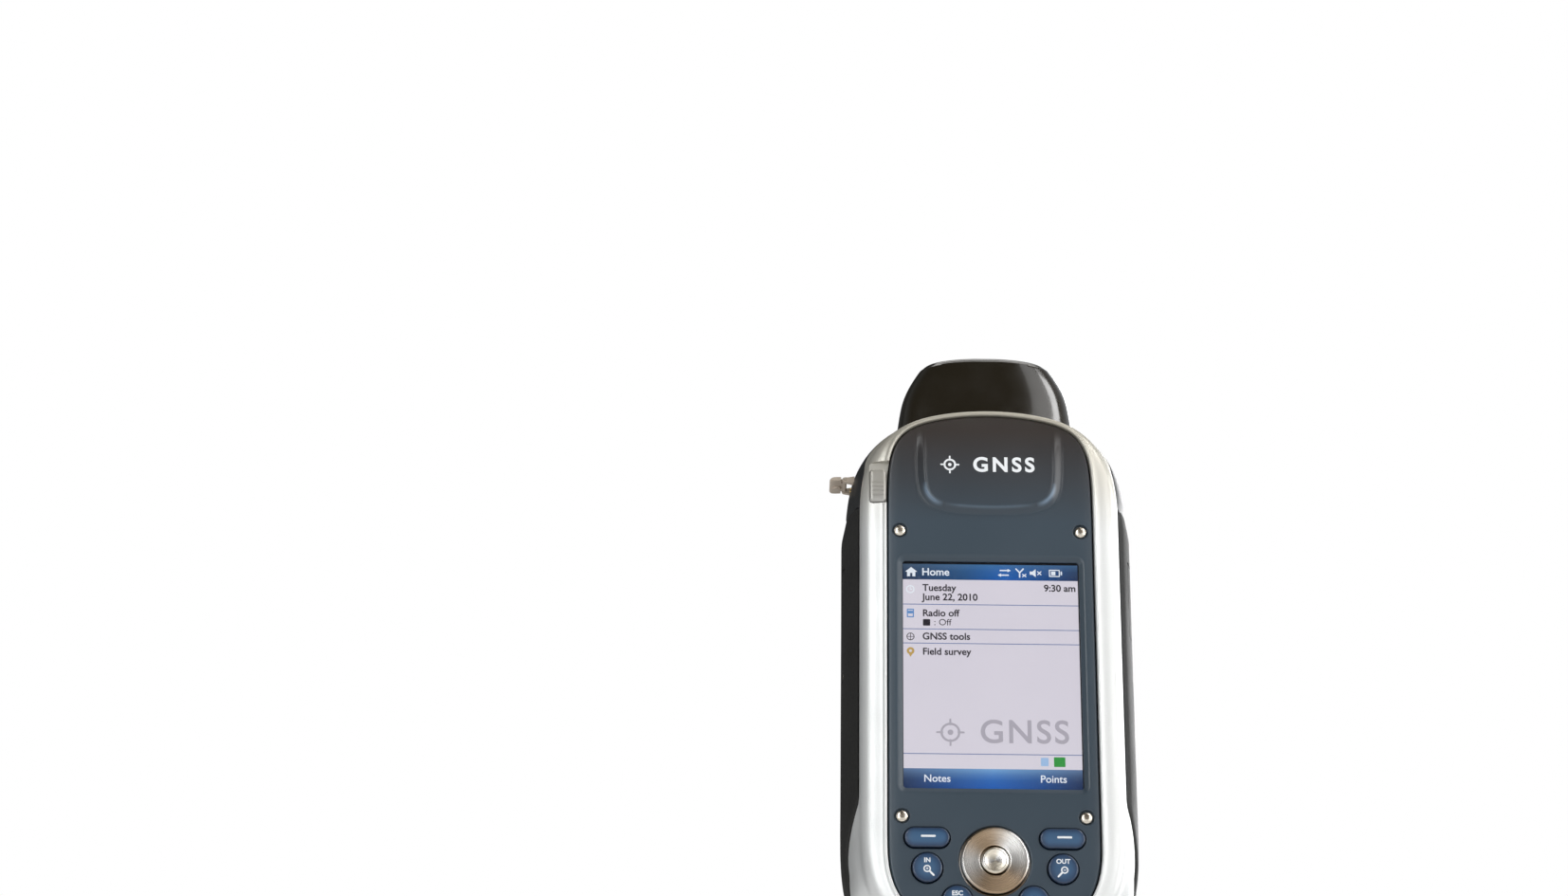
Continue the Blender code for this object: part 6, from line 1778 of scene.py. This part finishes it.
bm = bmesh.new()
size, seg = 60.0, 24
grid = [[bm.verts.new((-size / 2 + size * i / seg, -size / 2 + size * j / seg, -1.25)) for j in range(seg + 1)] for i in range(seg + 1)]
for i in range(seg):
    for j in range(seg):
        bm.faces.new((grid[i][j], grid[i + 1][j], grid[i + 1][j + 1], grid[i][j + 1]))
mesh = bpy.data.meshes.new("floor")
bm.to_mesh(mesh)
bm.free()
mesh.materials.append(soft_floor())
floor = bpy.data.objects.new("floor", mesh)
bpy.context.scene.collection.objects.link(floor)


def area(name, place, target, w, h, power, color=(1, 1, 1), spread=180):
    lamp = bpy.data.lights.new(name, "AREA")
    lamp.shape = "RECTANGLE"
    lamp.size, lamp.size_y = w, h
    lamp.energy = power
    lamp.color = color
    lamp.spread = math.radians(spread)
    ob = bpy.data.objects.new(name, lamp)
    bpy.context.scene.collection.objects.link(ob)
    place, target = Vector(place), Vector(target)
    ob.location = place
    ob.rotation_euler = (target - place).to_track_quat("-Z", "Y").to_euler()
    return ob


CENTRE = (0.0, -0.02, 0.0)
area("soft_right", (1.05, -0.16, 0.22), CENTRE, 0.55, 0.62, 5.5, (1.0, 0.995, 0.985))
area("soft_front_right", (0.66, -0.86, 0.26), CENTRE, 0.34, 0.8, 2.3, (1.0, 0.995, 0.985))
area("soft_front_left", (-0.50, -0.92, 0.24), CENTRE, 0.26, 0.8, 4.4, (0.97, 0.99, 1.0))
area("soft_top", (0.05, 0.10, 0.95), CENTRE, 0.6, 0.5, 2.0, (1.0, 0.98, 0.95))
area("high_right", (0.60, -0.46, 0.76), (0.02, -0.03, 0.065), 0.26, 0.30, 2.1)
area("high_mid", (0.36, -0.64, 0.74), (0.02, -0.03, 0.065), 0.34, 0.26, 0.55)
area("soft_back", (0.55, 1.05, 0.35), CENTRE, 0.8, 0.7, 8.0)

world = bpy.data.worlds.new("studio")
world.use_nodes = True
wt = world.node_tree
wt.nodes.clear()


def wnode(kind, **props):
    n = wt.nodes.new(kind)
    for k, v in props.items():
        setattr(n, k, v)
    return n


def wmap(socket, a, b, lo, hi):
    n = wnode("ShaderNodeMapRange", interpolation_type="SMOOTHSTEP")
    n.inputs["From Min"].default_value, n.inputs["From Max"].default_value = a, b
    n.inputs["To Min"].default_value, n.inputs["To Max"].default_value = lo, hi
    wt.links.new(socket, n.inputs["Value"])
    return n.outputs["Result"]


def wmath(op, a, b):
    n = wnode("ShaderNodeMath", operation=op)
    for i, v in enumerate((a, b)):
        if isinstance(v, (int, float)):
            n.inputs[i].default_value = v
        else:
            wt.links.new(v, n.inputs[i])
    return n.outputs[0]


# the room: dim and warm high in front, bright to the right and behind, pale overhead
spot = wnode("ShaderNodeTexCoord")
axes = wnode("ShaderNodeSeparateXYZ")
wt.links.new(spot.outputs["Generated"], axes.inputs["Vector"])
wx, wy, wz = axes.outputs
front = wmap(wy, 0.15, -0.45, 0.0, 1.0)
high = wmap(wz, 0.16, 0.42, 0.0, 1.0)
dim = wmath("MULTIPLY", front, high)
level = wmath("ADD", wmath("ADD", 0.22, wmap(wx, 0.15, 0.9, 0.0, 0.45)), wmath("MULTIPLY", wmap(wy, 0.1, 0.8, 0.0, 0.55), wmap(wx, -0.1, 0.35, 0.0, 1.0)))
# darker behind to the left and straight overhead
level = wmath("MULTIPLY", level, wmath("SUBTRACT", 1.0, wmath("MULTIPLY", wmap(wx, 0.02, -0.2, 0.0, 0.75), wmap(wy, 0.1, 0.5, 0.0, 1.0))))
level = wmath("MULTIPLY", level, wmap(wz, 0.45, 0.85, 1.0, 0.6))
shade = wnode("ShaderNodeMix", data_type="RGBA")
rgba_in = [i for i in shade.inputs if i.type == "RGBA"]
rgba_in[0].default_value, rgba_in[1].default_value = (0.94, 0.97, 1.0, 1), (0.30, 0.235, 0.17, 1)
wt.links.new(dim, shade.inputs["Factor"])
out = wnode("ShaderNodeOutputWorld")
seen, lit_by = wnode("ShaderNodeBackground"), wnode("ShaderNodeBackground")
seen.inputs["Color"].default_value = (1, 1, 1, 1)
seen.inputs["Strength"].default_value = 1.0
wt.links.new([o for o in shade.outputs if o.type == "RGBA"][0], lit_by.inputs["Color"])
wt.links.new(level, lit_by.inputs["Strength"])
path, mixer = wnode("ShaderNodeLightPath"), wnode("ShaderNodeMixShader")
wt.links.new(path.outputs["Is Camera Ray"], mixer.inputs["Fac"])
wt.links.new(lit_by.outputs["Background"], mixer.inputs[1])
wt.links.new(seen.outputs["Background"], mixer.inputs[2])
wt.links.new(mixer.outputs["Shader"], out.inputs["Surface"])
bpy.context.scene.world = world

cam_data = bpy.data.cameras.new("camera")
cam_data.sensor_fit, cam_data.sensor_width = "HORIZONTAL", 36.0
cam_data.lens = 3351.0 / 1654.0 * 36.0
cam_data.clip_start, cam_data.clip_end = 0.05, 50.0
cam = bpy.data.objects.new("camera", cam_data)
bpy.context.scene.collection.objects.link(cam)
th, rho = math.radians(22.22), math.radians(0.65)
base = np.array([[1, 0, 0], [0, 0, -1], [0, 1, 0]], float)
tilt = np.array([[1, 0, 0], [0, math.cos(th), math.sin(th)], [0, -math.sin(th), math.cos(th)]])
roll = np.array([[math.cos(rho), -math.sin(rho), 0], [math.sin(rho), math.cos(rho), 0], [0, 0, 1]])
R = roll @ base @ tilt
where = W(-R.T @ np.array([62.2, 100.4, 941.0]))
m = Matrix.Identity(4)
for r in range(3):
    m[r][0], m[r][1], m[r][2], m[r][3] = R[0][r], -R[1][r], -R[2][r], where[r]
cam.matrix_world = m
bpy.context.scene.camera = cam
bpy.context.scene.view_settings.view_transform = "Standard"
